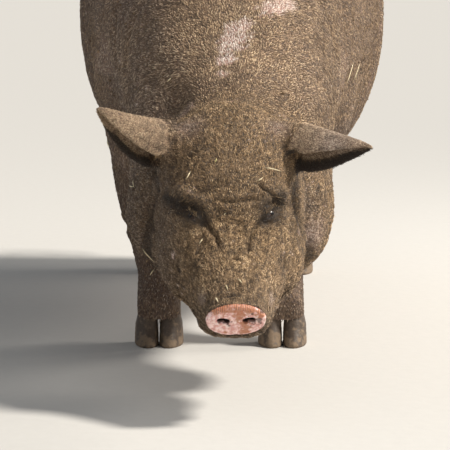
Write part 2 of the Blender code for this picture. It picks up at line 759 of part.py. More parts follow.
def square_cord(name, path, radii, points, first, end):
    """A length of the tail whose two ends are cut square to the whole tail's path."""
    rings = []
    for i, (point, radius) in enumerate(zip(path, radii)):
        k = first + i
        along = (points[min(k + 1, len(points) - 1)] - points[max(k - 1, 0)]).normalized()
        side = Vector((1, 0, 0))
        side = (side - along * side.dot(along)).normalized()
        other = along.cross(side)
        angles = [math.tau * n / 9 for n in range(9)]
        rings.append([point + (side * math.cos(a) + other * math.sin(a)) * radius for a in angles])
    return loft(name, rings)


def lock(start, end, out, width):
    """One flat lock of hair that narrows to a point."""
    along = end - start
    flat = along.cross(out).normalized()
    rings = []
    for k, size in enumerate((0.8, 1.0, 0.30)):
        middle = start + along * (k / 2) + out * 0.004 * math.sin(math.pi * k / 2)
        wide, thick = flat * width * size, out * 0.0016 * (0.5 + 0.5 * size)
        rings.append([middle - wide, middle - thick, middle + wide, middle + thick])
    return loft("lock", rings)


def build_feet(legs):
    """Two claws and two dewclaws to each foot. The legs are cut flat above the claws."""
    feet = []
    for place, rows in LEGS:
        for side, mirror in SIDES:
            leg = legs[place, side]
            last = placed(rows, side, place)[-1]
            x, y = last[0] * mirror, last[1] + 0.004
            sole = part_off(leg, "scrap", (x, y, HOOF_TOP), (0, 0, -1))
            bpy.data.objects.remove(sole)
            for toe, out in (("outer", mirror), ("inner", -mirror)):
                name = f"claw_{place}_{side}_{toe}"
                feet.append(build_claw(name, Vector((x + CLAW_ACROSS * out, y - 0.004, 0.0)), out))
                spur = (x + DEWCLAW[0] * out, y + DEWCLAW[1])
                boolean(leg, "DIFFERENCE", [swell(dewclaw("seat", *spur), GAP)])
                feet.append(dewclaw(f"dewclaw_{place}_{side}_{toe}", *spur))
    return feet


def add_teats(body):
    tree = surface(body)
    for y in TEATS:
        pair = []
        for _, mirror in SIDES:
            point, normal = strike(tree, (TEAT_ACROSS * mirror, y, 0.0), (0, 0, 1))
            path = [point - normal * 0.008, point + normal * 0.010, point + normal * 0.015]
            pair.append(cord("teat", path, (0.0100, 0.0066, 0.0034), sides=7))
        boolean(body, "UNION", pair)


def finish(obj, kind):
    """Shades the node smooth except across its crisp edges, and gives it a material of its own."""
    mesh = bmesh.new()
    mesh.from_mesh(obj.data)
    bmesh.ops.triangulate(mesh, faces=[face for face in mesh.faces if len(face.verts) > 4])
    for face in mesh.faces:
        face.smooth = True
    for edge in mesh.edges:
        edge.smooth = edge.is_manifold and edge.calc_face_angle(0.0) < math.radians(50)
    mesh.to_mesh(obj.data)
    mesh.free()
    obj.data.materials.clear()
    obj.data.materials.append(material(obj.name, kind))
    obj.data.name = obj.name


def stand(objects):
    """Moves everything so that the middle of the underside of the whole is the origin."""
    corners = [vert.co for obj in objects for vert in obj.data.vertices]
    low = Vector([min(corner[k] for corner in corners) for k in range(3)])
    high = Vector([max(corner[k] for corner in corners) for k in range(3)])
    step = Vector((-(low.x + high.x) / 2, -(low.y + high.y) / 2, -low.z))
    for obj in objects:
        obj.data.transform(Matrix.Translation(step))


def main():
    clear_scene()
    body = build_skin()
    eyes = add_head_features(body)
    add_teats(body)
    tail = build_tail(body)
    frame = head_frame()
    axis = frame.to_3x3() @ Vector((0, 1, 0))
    neck = part_off(body, "neck", frame @ Vector((0, HEAD_CUT, 0)), axis)
    head = body
    head.name = "head"
    boolean(head, "INTERSECT", [half_space(frame @ Vector((0, DISC_DEPTH + GAP, 0)), axis, 0.0)])
    legs = {}
    for place, _ in LEGS:
        for side, mirror in SIDES:
            leg = copy_of(neck, f"{place}leg_{side}_upper")
            for obj, operation, step in ((leg, "INTERSECT", -GAP / 2), (neck, "DIFFERENCE", GAP / 2)):
                boolean(obj, operation, [swell(arch(place, mirror), step)])
            legs[place, side] = leg
    ears = []
    for side, _ in SIDES:
        share = 1.3 * GAP / Vector(EARS[side][1]).length
        ear = ear_piece(f"ear_{side}", side, EAR_SPLIT + share, 1.0, 12)
        boolean(head, "DIFFERENCE", [swell(copy_of(ear, "seat"), GAP)])
        finish(ear, "ear")
        ears.append(ear)
    flesh = [head, neck]
    rest = neck
    for name, point, normal in TRUNK_CUTS:
        rest = part_off(rest, name, point, normal)
        flesh.append(rest)
    lower = {}
    for place, (point, way) in (("fore", KNEE), ("hind", HOCK)):
        for side, _ in SIDES:
            upper = legs[place, side]
            lower[place, side] = part_off(upper, f"{place}leg_{side}_lower", point, way)
    feet = build_feet(lower)
    for obj in flesh + list(legs.values()) + list(lower.values()):
        finish(obj, "hide")
    for obj in tail:
        finish(obj, "tail")
    for obj in feet:
        finish(obj, "horn")
    disc = build_disc()
    finish(disc, "snout")
    globes = [globe(f"eye_{side}", eye) for eye, (side, _) in zip(eyes, SIDES)]
    for obj in globes:
        finish(obj, "eye")
    stand(flesh + list(legs.values()) + list(lower.values()) + tail + feet + [disc] + ears + globes)


main()
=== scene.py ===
"""A domestic pig drinking: its skin, muddy coat, eyes, snout and feet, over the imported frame."""
import functools
import math

import bmesh
import bpy
import numpy as np
from mathutils import Matrix, Vector
from mathutils.bvhtree import BVHTree


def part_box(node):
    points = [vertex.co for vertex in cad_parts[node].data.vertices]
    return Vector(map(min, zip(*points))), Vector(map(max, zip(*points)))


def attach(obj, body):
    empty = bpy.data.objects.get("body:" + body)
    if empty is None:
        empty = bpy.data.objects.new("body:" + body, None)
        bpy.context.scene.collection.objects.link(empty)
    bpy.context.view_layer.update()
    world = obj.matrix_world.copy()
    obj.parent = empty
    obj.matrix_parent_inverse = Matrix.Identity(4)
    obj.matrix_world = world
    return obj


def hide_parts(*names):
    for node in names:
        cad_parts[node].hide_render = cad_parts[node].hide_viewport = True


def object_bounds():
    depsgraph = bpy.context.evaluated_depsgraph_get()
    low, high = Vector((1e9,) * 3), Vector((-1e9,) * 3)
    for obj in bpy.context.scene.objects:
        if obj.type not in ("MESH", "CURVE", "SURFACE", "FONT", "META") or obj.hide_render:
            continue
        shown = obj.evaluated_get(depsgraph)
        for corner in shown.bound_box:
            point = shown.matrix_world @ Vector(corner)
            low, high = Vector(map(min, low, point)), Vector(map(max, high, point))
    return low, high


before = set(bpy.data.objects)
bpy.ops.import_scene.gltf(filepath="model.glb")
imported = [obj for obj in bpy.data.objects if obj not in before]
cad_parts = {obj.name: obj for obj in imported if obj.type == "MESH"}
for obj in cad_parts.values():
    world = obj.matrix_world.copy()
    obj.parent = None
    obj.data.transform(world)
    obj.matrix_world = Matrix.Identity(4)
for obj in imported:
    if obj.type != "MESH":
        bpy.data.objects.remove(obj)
CAD_LOW, CAD_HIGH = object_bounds()

SIDES = (("left", 1), ("right", -1))
LIMBS = tuple(f"{place}leg_{side}" for place in ("fore", "hind") for side, _ in SIDES)
LEGS = tuple(f"{limb}_{part}" for limb in LIMBS for part in ("upper", "lower"))
TOES = tuple(f"{limb.replace('leg', '')}_{toe}" for limb in LIMBS for toe in ("outer", "inner"))
EARS = ("ear_left", "ear_right")
TRUNK = ("neck", "chest", "belly", "rump")
TAIL = ("tail_base", "tail_curl", "tail_tip")

# The head's own frame: x across, u back along the nose, v up from the nose
DISC_LOW, DISC_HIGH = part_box("snout_disc")
SNOUT = (DISC_LOW + DISC_HIGH) / 2 + Vector((0.0002, -0.0090, -0.0031))
HEAD_PITCH = math.radians(35)
HEAD_YAW = math.radians(2.6)
HEAD_ROLL = math.radians(2.0)
HEAD_TURN = Matrix.Rotation(HEAD_YAW, 4, "Z") @ Matrix.Rotation(HEAD_PITCH, 4, "X")
HEAD_TURN = HEAD_TURN @ Matrix.Rotation(-HEAD_ROLL, 4, "Y")
HEAD = Matrix.Translation(SNOUT) @ HEAD_TURN

# The photo's view: a long lens in front of the snout, a little above the head
CAMERA = SNOUT + Vector((-0.016, -3.0, 0.501))
CAMERA_PITCH = math.radians(6.88)
PHOTO_SIDE = 450
FOCAL_PIXELS = 2114
SENSOR = 36.0

# The skin lies inside the solids by the depth of the coat
FACE_DEPTH = 0.0012
BODY_DEPTH = 0.0035
EAR_DEPTH = 0.0004
HEAD_VOXEL = 0.0026
BODY_VOXEL = 0.0066
TAIL_VOXEL = 0.0020
DISC_VOXEL = 0.0009
SWELL = 0.0005
STRAY_SHARE = 0.01
HEAD_RELAX = 14
BODY_RELAX = 26
NECK_SEAM = 0.385
SEAM_GAP = 0.006
# Where the head gives way to the neck, back along the nose
NECK_BLEND = (0.30, 0.42)

TOE_SLOPE = 0.011
CLAW_REACH = 0.0048
RING_STEP = 0.0034
TEATS_BACK = tuple(-0.0616 + 0.1 * k for k in range(6))
TEAT_ACROSS = 0.075
TEAT_RADIUS = 0.0085
TEAT_HEIGHT = 0.013
TEAT_SPREAD = 0.026

LASHES = 34
BROW_HAIRS = {
    "left": ((170, 192), (176, 194), (182, 197), (188, 200), (194, 205), (199, 210)),
    "right": ((280, 196), (275, 199), (270, 203), (265, 208)),
}
BROW_HAIR_COUNT = 8
FRINGE = 90
GUARD_HAIRS = 4200
TAIL_HAIRS = 260
STRAWS = (
    ((191, 172), (188.5, 181.5)), ((108, 139), (112, 149)), ((130.5, 185.5), (136, 194)),
    ((134, 180), (137, 190)),
    ((142, 247), (154.5, 263.5)), ((155, 268), (145, 280)), ((203, 238.5), (200, 245)),
    ((216, 297), (217.5, 303)),
    ((257, 181), (263, 178)), ((263, 168), (280, 171)), ((226, 212), (222, 219)),
    ((215, 163), (217, 159)),
    ((168, 83), (172, 78)), ((345, 85), (351, 60)), ((352, 82), (356, 62)), ((225, 285), (229, 290)),
    ((238, 279), (242, 284)),
)
CRUMBS = 3600
CRUMB_PLACES = (((235, 258), 0.040, 1.0), ((228, 282), 0.028, 1.2), ((190, 240), 0.030, 0.6),
                ((262, 100), 0.06, 0.25),
                ((356, 108), 0.050, 1.1), ((362, 80), 0.05, 0.8), ((245, 40), 0.05, 0.35),
                ((235, 225), 0.03, 0.5),
                ((90, 60), 0.06, 0.4), ((185, 262), 0.02, 0.7))
NOSTRIL_ACROSS = 0.0180
NOSTRIL_UP = -0.0008
MUD_STAINS = (((238, 307), 0.016), ((250, 308), 0.014), ((226, 308), 0.014), ((216, 311), 0.009),
              ((240, 316), 0.013),
              ((243, 323), 0.011), ((246, 328), 0.008), ((245, 331), 0.008), ((241, 333), 0.004),
              ((262, 312), 0.010), ((225, 332), 0.003))
GRIME_STAINS = (((224, 319), 0.0100), ((219, 320), 0.006), ((229, 321), 0.006), ((252, 319), 0.0095),
                ((259, 320.5), 0.0065),
                ((252.5, 314), 0.0025), ((261, 323), 0.0022), ((229.5, 325.5), 0.0022),
                ((262, 311), 0.0050))

DISC_RIM = 0.0095
DISC_POCKET = 0.014
DISC_HALF = (0.041, 0.026)
NOSTRIL_HALF = (0.0135, 0.0085)
BOWL_HALF = (0.0108, 0.0053)
BOWL_DEPTH = 0.0055
EYE_RADIUS = 0.0125
LID = 0.0034
SLIT_HALF_LENGTH = 0.0112
SLIT_HALF_HEIGHT = 0.0036


def arrays_of(obj):
    """The corners of a mesh as one array, and their normals as another."""
    count = len(obj.data.vertices)
    points = np.empty(count * 3)
    normals = np.empty(count * 3)
    obj.data.vertices.foreach_get("co", points)
    obj.data.vertex_normals.foreach_get("vector", normals)
    return points.reshape(-1, 3), normals.reshape(-1, 3)


def set_points(obj, points):
    obj.data.vertices.foreach_set("co", points.astype(np.float32).ravel())
    obj.data.update()


def new_object(name, mesh):
    """An object of the scene made from a bmesh, which is freed."""
    data = bpy.data.meshes.new(name)
    mesh.to_mesh(data)
    mesh.free()
    obj = bpy.data.objects.new(name, data)
    bpy.context.scene.collection.objects.link(obj)
    return obj


def apply_modifiers(obj):
    bpy.context.view_layer.update()
    evaluated = obj.evaluated_get(bpy.context.evaluated_depsgraph_get())
    data = bpy.data.meshes.new_from_object(evaluated)
    obj.modifiers.clear()
    old, obj.data = obj.data, data
    bpy.data.meshes.remove(old)
    return obj


def smooth_step(value, low, high):
    share = np.clip((value - low) / (high - low), 0.0, 1.0)
    return share * share * (3 - 2 * share)


def carried(matrix, points):
    """Points moved by a matrix."""
    turn = np.array(matrix)
    return points @ turn[:3, :3].T + turn[:3, 3]


def head_place(points):
    """Where points lie in the head's own frame."""
    return carried(HEAD.inverted(), points)


def tree_of(obj):
    """A search tree of an object's surface."""
    return BVHTree.FromObject(obj, bpy.context.evaluated_depsgraph_get())


def smooth_shade(obj):
    obj.data.polygons.foreach_set("use_smooth", np.ones(len(obj.data.polygons), dtype=bool))


def put_layer(obj, name, kind, field, values):
    """Keeps one value for each corner of a mesh."""
    layer = obj.data.attributes.new(name, kind, "POINT")
    layer.data.foreach_set(field, np.asarray(values).astype(np.float32).ravel())


def unit(vectors):
    return vectors / np.maximum(np.linalg.norm(vectors, axis=-1, keepdims=True), 1e-9)


def flattened(ways, ups, share=1.0):
    """Directions laid along a surface, in full or by a share."""
    return unit(ways - ups * np.sum(ways * ups, axis=1)[:, None] * share)


def noise(points, size, seed):
    """Smooth noise from 0 to 1 with lumps of about the given size, read from a seeded table."""
    table = np.random.default_rng(seed).random((32, 32, 32))
    cell = points / size
    base = np.floor(cell).astype(int)
    part = cell - base
    part = part * part * (3 - 2 * part)
    found = np.zeros(len(points))
    for dx in (0, 1):
        for dy in (0, 1):
            for dz in (0, 1):
                x, y, z = (part[:, k] if step else 1 - part[:, k] for k, step in enumerate((dx, dy, dz)))
                i, j, k = (base + (dx, dy, dz)).T % 32
                found += x * y * z * table[i, j, k]
    return found


def layered_noise(points, size, seed, layers=3):
    total = sum(noise(points, size / 2**k, seed + k) / 2**k for k in range(layers))
    return total / sum(1 / 2**k for k in range(layers))


def fused(name, nodes, voxel, smooth, extras=()):
    """One closed skin round copies of the named solids, each swollen a little so that they overlap."""
    joined = bmesh.new()
    for node in nodes:
        piece = bmesh.new()
        piece.from_mesh(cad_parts[node].data)
        bmesh.ops.remove_doubles(piece, verts=piece.verts, dist=1e-6)
        piece.normal_update()
        for vert, normal in [(vert, vert.normal.copy()) for vert in piece.verts]:
            vert.co += normal * SWELL
        data = bpy.data.meshes.new(node)
        piece.to_mesh(data)
        piece.free()
        joined.from_mesh(data)
        bpy.data.meshes.remove(data)
    for centre, radius in extras:
        bmesh.ops.create_icosphere(joined, subdivisions=4, radius=radius,
                                   matrix=Matrix.Translation(centre))
    skin = new_object(name, joined)
    remesh = skin.modifiers.new("remesh", "REMESH")
    remesh.mode = "VOXEL"
    remesh.voxel_size = voxel
    softened = skin.modifiers.new("relax", "SMOOTH")
    softened.factor = 0.5
    softened.iterations = smooth
    return drop_bits(apply_modifiers(skin))


def drop_bits(obj):
    """Deletes the small closed bits that a voxel skin leaves off at thin tips."""
    mesh = bmesh.new()
    mesh.from_mesh(obj.data)
    left = set(mesh.verts)
    shells = []
    while left:
        waiting = [left.pop()]
        shell = []
        while waiting:
            vert = waiting.pop()
            shell.append(vert)
            for edge in vert.link_edges:
                other = edge.other_vert(vert)
                if other in left:
                    left.remove(other)
                    waiting.append(other)
        shells.append(shell)
    least = STRAY_SHARE * max(len(shell) for shell in shells)
    bits = [vert for shell in shells if len(shell) < least for vert in shell]
    bmesh.ops.delete(mesh, geom=bits, context="VERTS")
    mesh.to_mesh(obj.data)
    mesh.free()
    return obj


def cut(obj, point, normal, ahead):
    """Cuts the object at a plane and keeps what lies ahead of it or behind it."""
    mesh = bmesh.new()
    mesh.from_mesh(obj.data)
    geometry = [*mesh.verts, *mesh.edges, *mesh.faces]
    bmesh.ops.bisect_plane(
        mesh, geom=geometry, plane_co=point, plane_no=normal, clear_outer=not ahead, clear_inner=ahead
    )
    mesh.to_mesh(obj.data)
    mesh.free()


def open_loops(mesh):
    """The open edges of a bmesh as lists of its corners in order."""
    left = {edge for edge in mesh.edges if edge.is_boundary}
    loops = []
    while left:
        edge = left.pop()
        loop = [edge.verts[0], edge.verts[1]]
        while True:
            following = [e for e in loop[-1].link_edges if e in left]
            if not following:
                break
            left.remove(following[0])
            loop.append(following[0].other_vert(loop[-1]))
        loops.append(loop[:-1] if loop[0] is loop[-1] else loop)
    return sorted(loops, key=len, reverse=True)


def zip_loops(mesh, one, two, axis):
    """Joins two rings of different counts with a strip of triangles, read by their turn about the axis."""
    centre = sum((vert.co for vert in one), Vector()) / len(one)
    across = axis.orthogonal().normalized()
    other = axis.cross(across)

    def turn(vert):
        step = vert.co - centre
        return math.atan2(step.dot(other), step.dot(across)) % math.tau

    rings = []
    for loop in (one, two):
        rising = sum(1 if (turn(b) - turn(a)) % math.tau < math.pi else -1 for a,
                     b in zip(loop, loop[1:])) > 0
        loop = loop if rising else loop[::-1]
        start = min(range(len(loop)), key=lambda k: turn(loop[k]))
        rings.append(loop[start:] + loop[:start])
    first, second = rings
    i = j = 0
    while i < len(first) or j < len(second):
        a, b = first[i % len(first)], second[j % len(second)]
        if j >= len(second) or (i < len(first) and (i + 1) / len(first) <= (j + 1) / len(second)):
            i += 1
            corners = (a, b, first[i % len(first)])
        else:
            j += 1
            corners = (a, b, second[j % len(second)])
        mesh.faces.new(corners)


def ear_share(points):
    """How near points lie to the ears, from 0 away from them to 1 on them."""
    share = np.zeros(len(points))
    for node in EARS:
        low, high = (np.array(corner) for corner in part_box(node))
        near = np.flatnonzero(np.all((points > low - 0.01) & (points < high + 0.01), axis=1))
        tree = tree_of(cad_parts[node])
        gaps = np.array([tree.find_nearest(Vector(points[k]))[3] for k in near])
        share[near] = np.maximum(share[near], 1 - smooth_step(gaps, 0.002, 0.009))
    return share


def relax(obj, weights, steps, factor=0.5):
    """Smooths the mesh where the weights are high."""
    group = obj.vertex_groups.new(name="relax")
    levels = np.round(np.clip(weights, 0, 1) * 10).astype(int)
    for level in range(1, 11):
        group.add(np.flatnonzero(levels == level).tolist(), level / 10, "REPLACE")
    modifier = obj.modifiers.new("relax", "SMOOTH")
    modifier.factor = factor
    modifier.iterations = steps
    modifier.vertex_group = group.name
    apply_modifiers(obj)
    obj.vertex_groups.clear()


def seam_plane():
    """Where the finer skin of the head gives way to the coarser one of the body."""
    return HEAD @ Vector((0, NECK_SEAM, 0)), (HEAD_TURN @ Vector((0, 1, 0))).normalized()


def eye_places():
    """A frame at each eye: across its slit, out of the head, and up from the slit."""
    places = []
    for side, mirror in SIDES:
        low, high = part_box(f"eye_{side}")
        gaze = Vector((0.55 * mirror, -0.72, 0.42)).normalized()
        across = Vector((0, 0, 1)).cross(gaze).normalized()
        slant = Matrix.Rotation(math.radians(30) * mirror, 3, gaze)
        turn = Matrix((slant @ across, gaze, slant @ gaze.cross(across))).transposed().to_4x4()
        places.append(Matrix.Translation((low + high) / 2) @ turn)
    return places


def eye_gap(points):
    """How far points are from the nearer eye."""
    return np.min([np.linalg.norm(points - np.array(eye.translation), axis=1) for eye in eye_places()],
                  axis=0)


def slit_share(across, up):
    """How far out a place is from the middle of an eye's slit, 1 at its edge."""
    return np.sqrt((across / SLIT_HALF_LENGTH) ** 2 + (up / SLIT_HALF_HEIGHT) ** 2)


@functools.cache
def teat_places():
    """Where the teats stand on the belly's underside."""
    tree = tree_of(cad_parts["belly"])
    tree_chest = tree_of(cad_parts["chest"])
    middle = (DISC_LOW.x + DISC_HIGH.x) / 2 - 0.006
    found = []
    for back in TEATS_BACK:
        for _, mirror in SIDES:
            below = Vector((middle + TEAT_ACROSS * mirror, back, 0))
            hits = [hit for hit in (t.ray_cast(below, Vector((0, 0, 1)))[0] for t in (tree, tree_chest))
                    if hit]
            if hits:
                found.append(min(hits, key=lambda hit: hit.z))
    return found


def build_skin():
    """One closed skin for all the flesh, fine on the head and coarser on the body."""
    point, normal = seam_plane()
    lids = [(eye.translation, EYE_RADIUS + LID) for eye in eye_places()]
    head = fused("head_skin", ("head", "neck", "snout_disc", *EARS), HEAD_VOXEL, 0, lids)
    ears = ear_share(arrays_of(head)[0])
    relax(head, 1 - 0.9 * ears, HEAD_RELAX)
    cut(head, point, normal, False)
    body = fused("body_skin", ("head", *TRUNK, *LEGS), BODY_VOXEL, 6)
    points, _ = arrays_of(body)
    relax(body, smooth_step(points[:, 2], 0.10, 0.35), BODY_RELAX)
    cut(body, point + normal * SEAM_GAP, normal, True)
    tail = fused("tail_skin", TAIL, TAIL_VOXEL, 5)
    mesh = bmesh.new()
    for piece in (head, body):
        mesh.from_mesh(piece.data)
    first, second = open_loops(mesh)[:2]
    zip_loops(mesh, first, second, normal)
    mesh.from_mesh(tail.data)
    bmesh.ops.recalc_face_normals(mesh, faces=mesh.faces)
    for piece in (head, body, tail):
        bpy.data.objects.remove(piece)
    for place, reach in [(eye.translation, 0.021) for eye in eye_places()] + [(teat, 0.020)
                                                                              for teat in teat_places()]:
        near = [face for face in mesh.faces if (face.calc_center_median() - place).length < reach]
        edges = {edge for face in near for edge in face.edges}
        bmesh.ops.subdivide_edges(mesh, edges=list(edges), cuts=3, use_grid_fill=True)
    bmesh.ops.triangulate(mesh, faces=[face for face in mesh.faces if len(face.verts) > 4])
    bmesh.ops.recalc_face_normals(mesh, faces=mesh.faces)
    skin = new_object("skin", mesh)
    points, _ = arrays_of(skin)
    beyond = (points - np.array(point)) @ np.array(normal)
    relax(skin, 1 - smooth_step(np.abs(beyond - SEAM_GAP / 2), 0.012, 0.03), 12)
    return skin


# Folds of the face: places along each in the photo, then depth, width and side ridge
FOLDS = {
    "forehead_left": (((190, 195), (200, 194), (210, 189), (220, 184)), 0.0022, 0.0060, 0.4),
    "forehead_middle": (((214, 200), (222, 201), (232, 201.4), (242, 201.1), (252.3, 199.7),
                         (262, 200.7)),
                        0.0026, 0.0034, 0.5),
    "forehead_right": (((258, 184), (263.5, 189), (270, 194), (277, 199)), 0.0034, 0.0034, 0.5),
    "forehead_low": (((217, 210), (223, 212), (229.6, 214.7)), 0.0020, 0.0030, 0.4),
    "brow_left": (((167, 198), (173, 202), (180, 206), (188, 210), (196, 215), (204, 222)), 0.0150,
                  0.0115, 0.0),
    "ridge_left": (((170, 187), (181, 190.5), (191, 195), (201, 201.5), (209, 210)), -0.0045, 0.0070,
                   0.0),
    "lid_left": (((168, 213), (177, 219), (186, 225), (196, 231)), -0.0045, 0.0080, 0.0),
    "brow_right": (((281, 196), (277, 203), (272.5, 209), (268, 216), (263, 221)), 0.0110, 0.0080, 0.0),
    "ridge_right": (((271, 191), (266, 196), (261, 202), (256, 209)), -0.0035, 0.0060, 0.0),
    "lid_right": (((288, 214), (281, 220), (273, 225), (265, 227)), -0.0030, 0.0070, 0.0),
    "tear_left": (((201, 217), (207, 225), (212, 232), (216.5, 239), (220, 250)), 0.0034, 0.0040, 0.6),
    "tear_right": (((262, 220), (254, 228), (250, 236), (248.5, 245), (247, 258)), 0.0032, 0.0038, 0.6),
    "jowl_right": (((303.5, 170), (297, 184), (294.4, 198), (296, 210), (300, 224), (304.5, 238),
                    (307, 252), (303, 266)),
                   0.0052, 0.0090, 0.3),
    "neck_left": (((153, 161), (156, 176), (157, 192), (154, 212), (149, 236), (149, 256), (154, 276)),
                  0.0065, 0.0095, 0.3),
    "cheek_left": (((177.5, 264), (178.6, 273)), 0.0040, 0.0060, 0.2),
    "chin_left": (((175.8, 285), (179.3, 293)), 0.0030, 0.0050, 0.2),
    "cheek_right": (((285.2, 250.5), (285.2, 272)), 0.0035, 0.0060, 0.2),
    "disc_top_one": (((221, 299.5), (232, 296.5), (246, 297)), 0.0016, 0.0020, 0.6),
    "disc_top_two": (((224, 293), (236, 291), (250, 293.5)), 0.0010, 0.0020, 0.6),
    "bridge_one": (((226, 262), (233, 259), (243, 262)), 0.0014, 0.0024, 0.6),
    "bridge_two": (((218, 272), (229, 270), (240, 273), (250, 270)), 0.0014, 0.0024, 0.6),
}
# Folds whose creases are darkened with painted shade, in full and in part
CREASES = ("forehead", "brow", "tear", "cheek", "chin", "bridge")
SOFT_CREASES = ("neck", "jowl")
BROW_SHADE = 0.0130
# Hollows of the neck and head: place in the photo, reach and depth
HOLLOWS = {
    "behind_left_ear": ((169, 100), 0.036, 0.024),
    "above_left_ear": ((160, 75), 0.050, 0.010),
    "behind_right_ear": ((290, 105), 0.040, 0.016),
    "above_right_ear": ((292, 80), 0.045, 0.008),
    "temple_left": ((162, 184), 0.020, 0.005),
    "temple_right": ((289, 186), 0.016, 0.005),
    "jowl_low": ((309, 256), 0.040, -0.006),
    "ear_base_left": ((170, 128), 0.022, -0.006),
    "cheek_under_left": ((181, 236), 0.022, -0.004),
    "cheek_under_right": ((274, 228), 0.022, -0.004),
    "shoulder_left": ((131, 188), 0.070, -0.010),
    "shoulder_left_low": ((136, 222), 0.060, -0.008),
}
# Folds of the body on both sides: places along each, back and up, then depth, width and side ridge
SIDE_FOLDS = (
    (((-0.475, 0.68), (-0.455, 0.58), (-0.465, 0.48), (-0.51, 0.39)), 0.0036, 0.013, 0.5),
    (((-0.40, 0.75), (-0.365, 0.65), (-0.36, 0.55), (-0.385, 0.46)), 0.0045, 0.013, 0.5),
    (((-0.635, 0.20), (-0.60, 0.27), (-0.585, 0.35)), 0.0050, 0.011, 0.5),
    (((-0.06, 0.66), (-0.02, 0.55), (0.0, 0.45), (-0.02, 0.36), (-0.06, 0.31)), 0.0080, 0.018, 0.4),
    (((0.06, 0.40), (0.03, 0.33), (-0.01, 0.285)), 0.0045, 0.013, 0.5),
    (((0.47, 0.30), (0.475, 0.38), (0.50, 0.46), (0.545, 0.53)), 0.0090, 0.018, 0.4),
    (((0.52, 0.27), (0.53, 0.33), (0.56, 0.39)), 0.0045, 0.012, 0.5),
    (((0.80, 0.60), (0.74, 0.50), (0.72, 0.41), (0.745, 0.33)), 0.0050, 0.015, 0.4),
    (((-0.235, 0.215), (-0.205, 0.21), (-0.17, 0.215)), 0.0030, 0.008, 0.6),
    (((0.66, 0.235), (0.70, 0.225), (0.74, 0.235)), 0.0030, 0.008, 0.6),
)
# Hollows of the body on both sides: place back and up, reach and depth
SIDE_HOLLOWS = (((-0.02, 0.44), 0.090, 0.005), ((-0.40, 0.56), 0.080, 0.003),
                ((0.44, 0.56), 0.090, 0.006),
                ((0.44, 0.37), 0.070, 0.007), ((-0.30, 0.36), 0.055, 0.005), ((0.86, 0.44), 0.070, 0.006),
                ((0.62, 0.34), 0.055, 0.005))
RUMP_CLEFT = ((0.012, 0.60), (0.010, 0.52), (0.008, 0.44), (0.006, 0.36))
MOUTH_FRONT = 0.062
MOUTH_CORNER = 0.138
MOUTH_HEIGHT = -0.0440


def view_ray(place):
    """The direction from the camera through a place in the photo."""
    across = (place[0] - PHOTO_SIDE / 2) / FOCAL_PIXELS
    down = (place[1] - PHOTO_SIDE / 2) / FOCAL_PIXELS
    turn = Matrix.Rotation(math.pi / 2 - CAMERA_PITCH, 3, "X")
    return (turn @ Vector((across, -down, -1))).normalized()


def seen(tree, place):
    """Where the skin lies at a place in the photo, and its normal there."""
    return tree.ray_cast(CAMERA, view_ray(place))[:2]


def on_skin(tree, places, step=2.5):
    """The line on the skin that runs through places in the photo."""
    line = []
    for start, end in zip(places, places[1:]):
        count = max(1, round(math.dist(start, end) / step))
        line += [tuple(a + (b - a) * k / count for a, b in zip(start, end)) for k in range(count)]
    hits = [seen(tree, place)[0] for place in (*line, places[-1])]
    return np.array([hit for hit in hits if hit])


def side_line(tree, places, mirror):
    """The line on the flank of one side that runs through places given back and up."""
    line = []
    for start, end in zip(places, places[1:]):
        count = max(1, round(math.dist(start, end) / 0.012))
        line += [tuple(a + (b - a) * k / count for a, b in zip(start, end)) for k in range(count)]
    hits = [tree.ray_cast(Vector((mirror, *place)), Vector((-mirror, 0, 0)))[0]
            for place in (*line, places[-1])]
    return np.array([hit for hit in hits if hit])


def mouth_line(tree):
    """The line between the lips on the skin, round the front of the chin."""
    turn = HEAD.to_3x3()
    rays = []
    for k in range(-5, 6):
        out = Vector((math.sin(math.radians(18 * k)), -math.cos(math.radians(18 * k)), 0))
        rays.append((Vector((0, MOUTH_FRONT, MOUTH_HEIGHT)) + out * 0.3, -out))
    for k in range(1, 10):
        share = k / 9
        back = MOUTH_FRONT + (MOUTH_CORNER - MOUTH_FRONT) * share
        height = MOUTH_HEIGHT - 0.010 * math.sin(math.pi * share) + 0.006 * share**3
        for mirror in (1, -1):
            ray = (Vector((0.3 * mirror, back, height)), Vector((-mirror, 0, 0)))
            rays.insert(len(rays) if mirror == 1 else 0, ray)
    hits = [tree.ray_cast(HEAD @ start, turn @ out)[0] for start, out in rays]
    return np.array([hit for hit in hits if hit])


def along_line(points, line, width, reach=4.0):
    """How many widths away a line is from each point, and how far along the line its nearest place is."""
    gaps = np.full(len(points), reach + 1)
    shares = np.zeros(len(points))
    low, high = line.min(axis=0) - reach * width, line.max(axis=0) + reach * width
    near = np.flatnonzero(np.all((points > low) & (points < high), axis=1))
    for k in range(len(line) - 1):
        step = line[k + 1] - line[k]
        part = np.clip((points[near] - line[k]) @ step / max(step @ step, 1e-12), 0, 1)
        gap = np.linalg.norm(points[near] - line[k] - part[:, None] * step, axis=1) / width
        closer = near[gap < gaps[near]]
        shares[closer] = (k + part[gap < gaps[near]]) / (len(line) - 1)
        gaps[closer] = gap[gap < gaps[near]]
    return gaps, shares


def groove(points, line, depth, width, ridge):
    """How far a fold moves each point along its normal: down in its line and up beside it."""
    gaps, shares = along_line(points, line, width)
    fade = smooth_step(shares, 0, 0.22) * smooth_step(1 - shares, 0, 0.22)
    return depth * (0.25 + 0.75 * fade) * (ridge * np.exp(-((gaps - 1.9) ** 2)) - np.exp(-(gaps**2)))


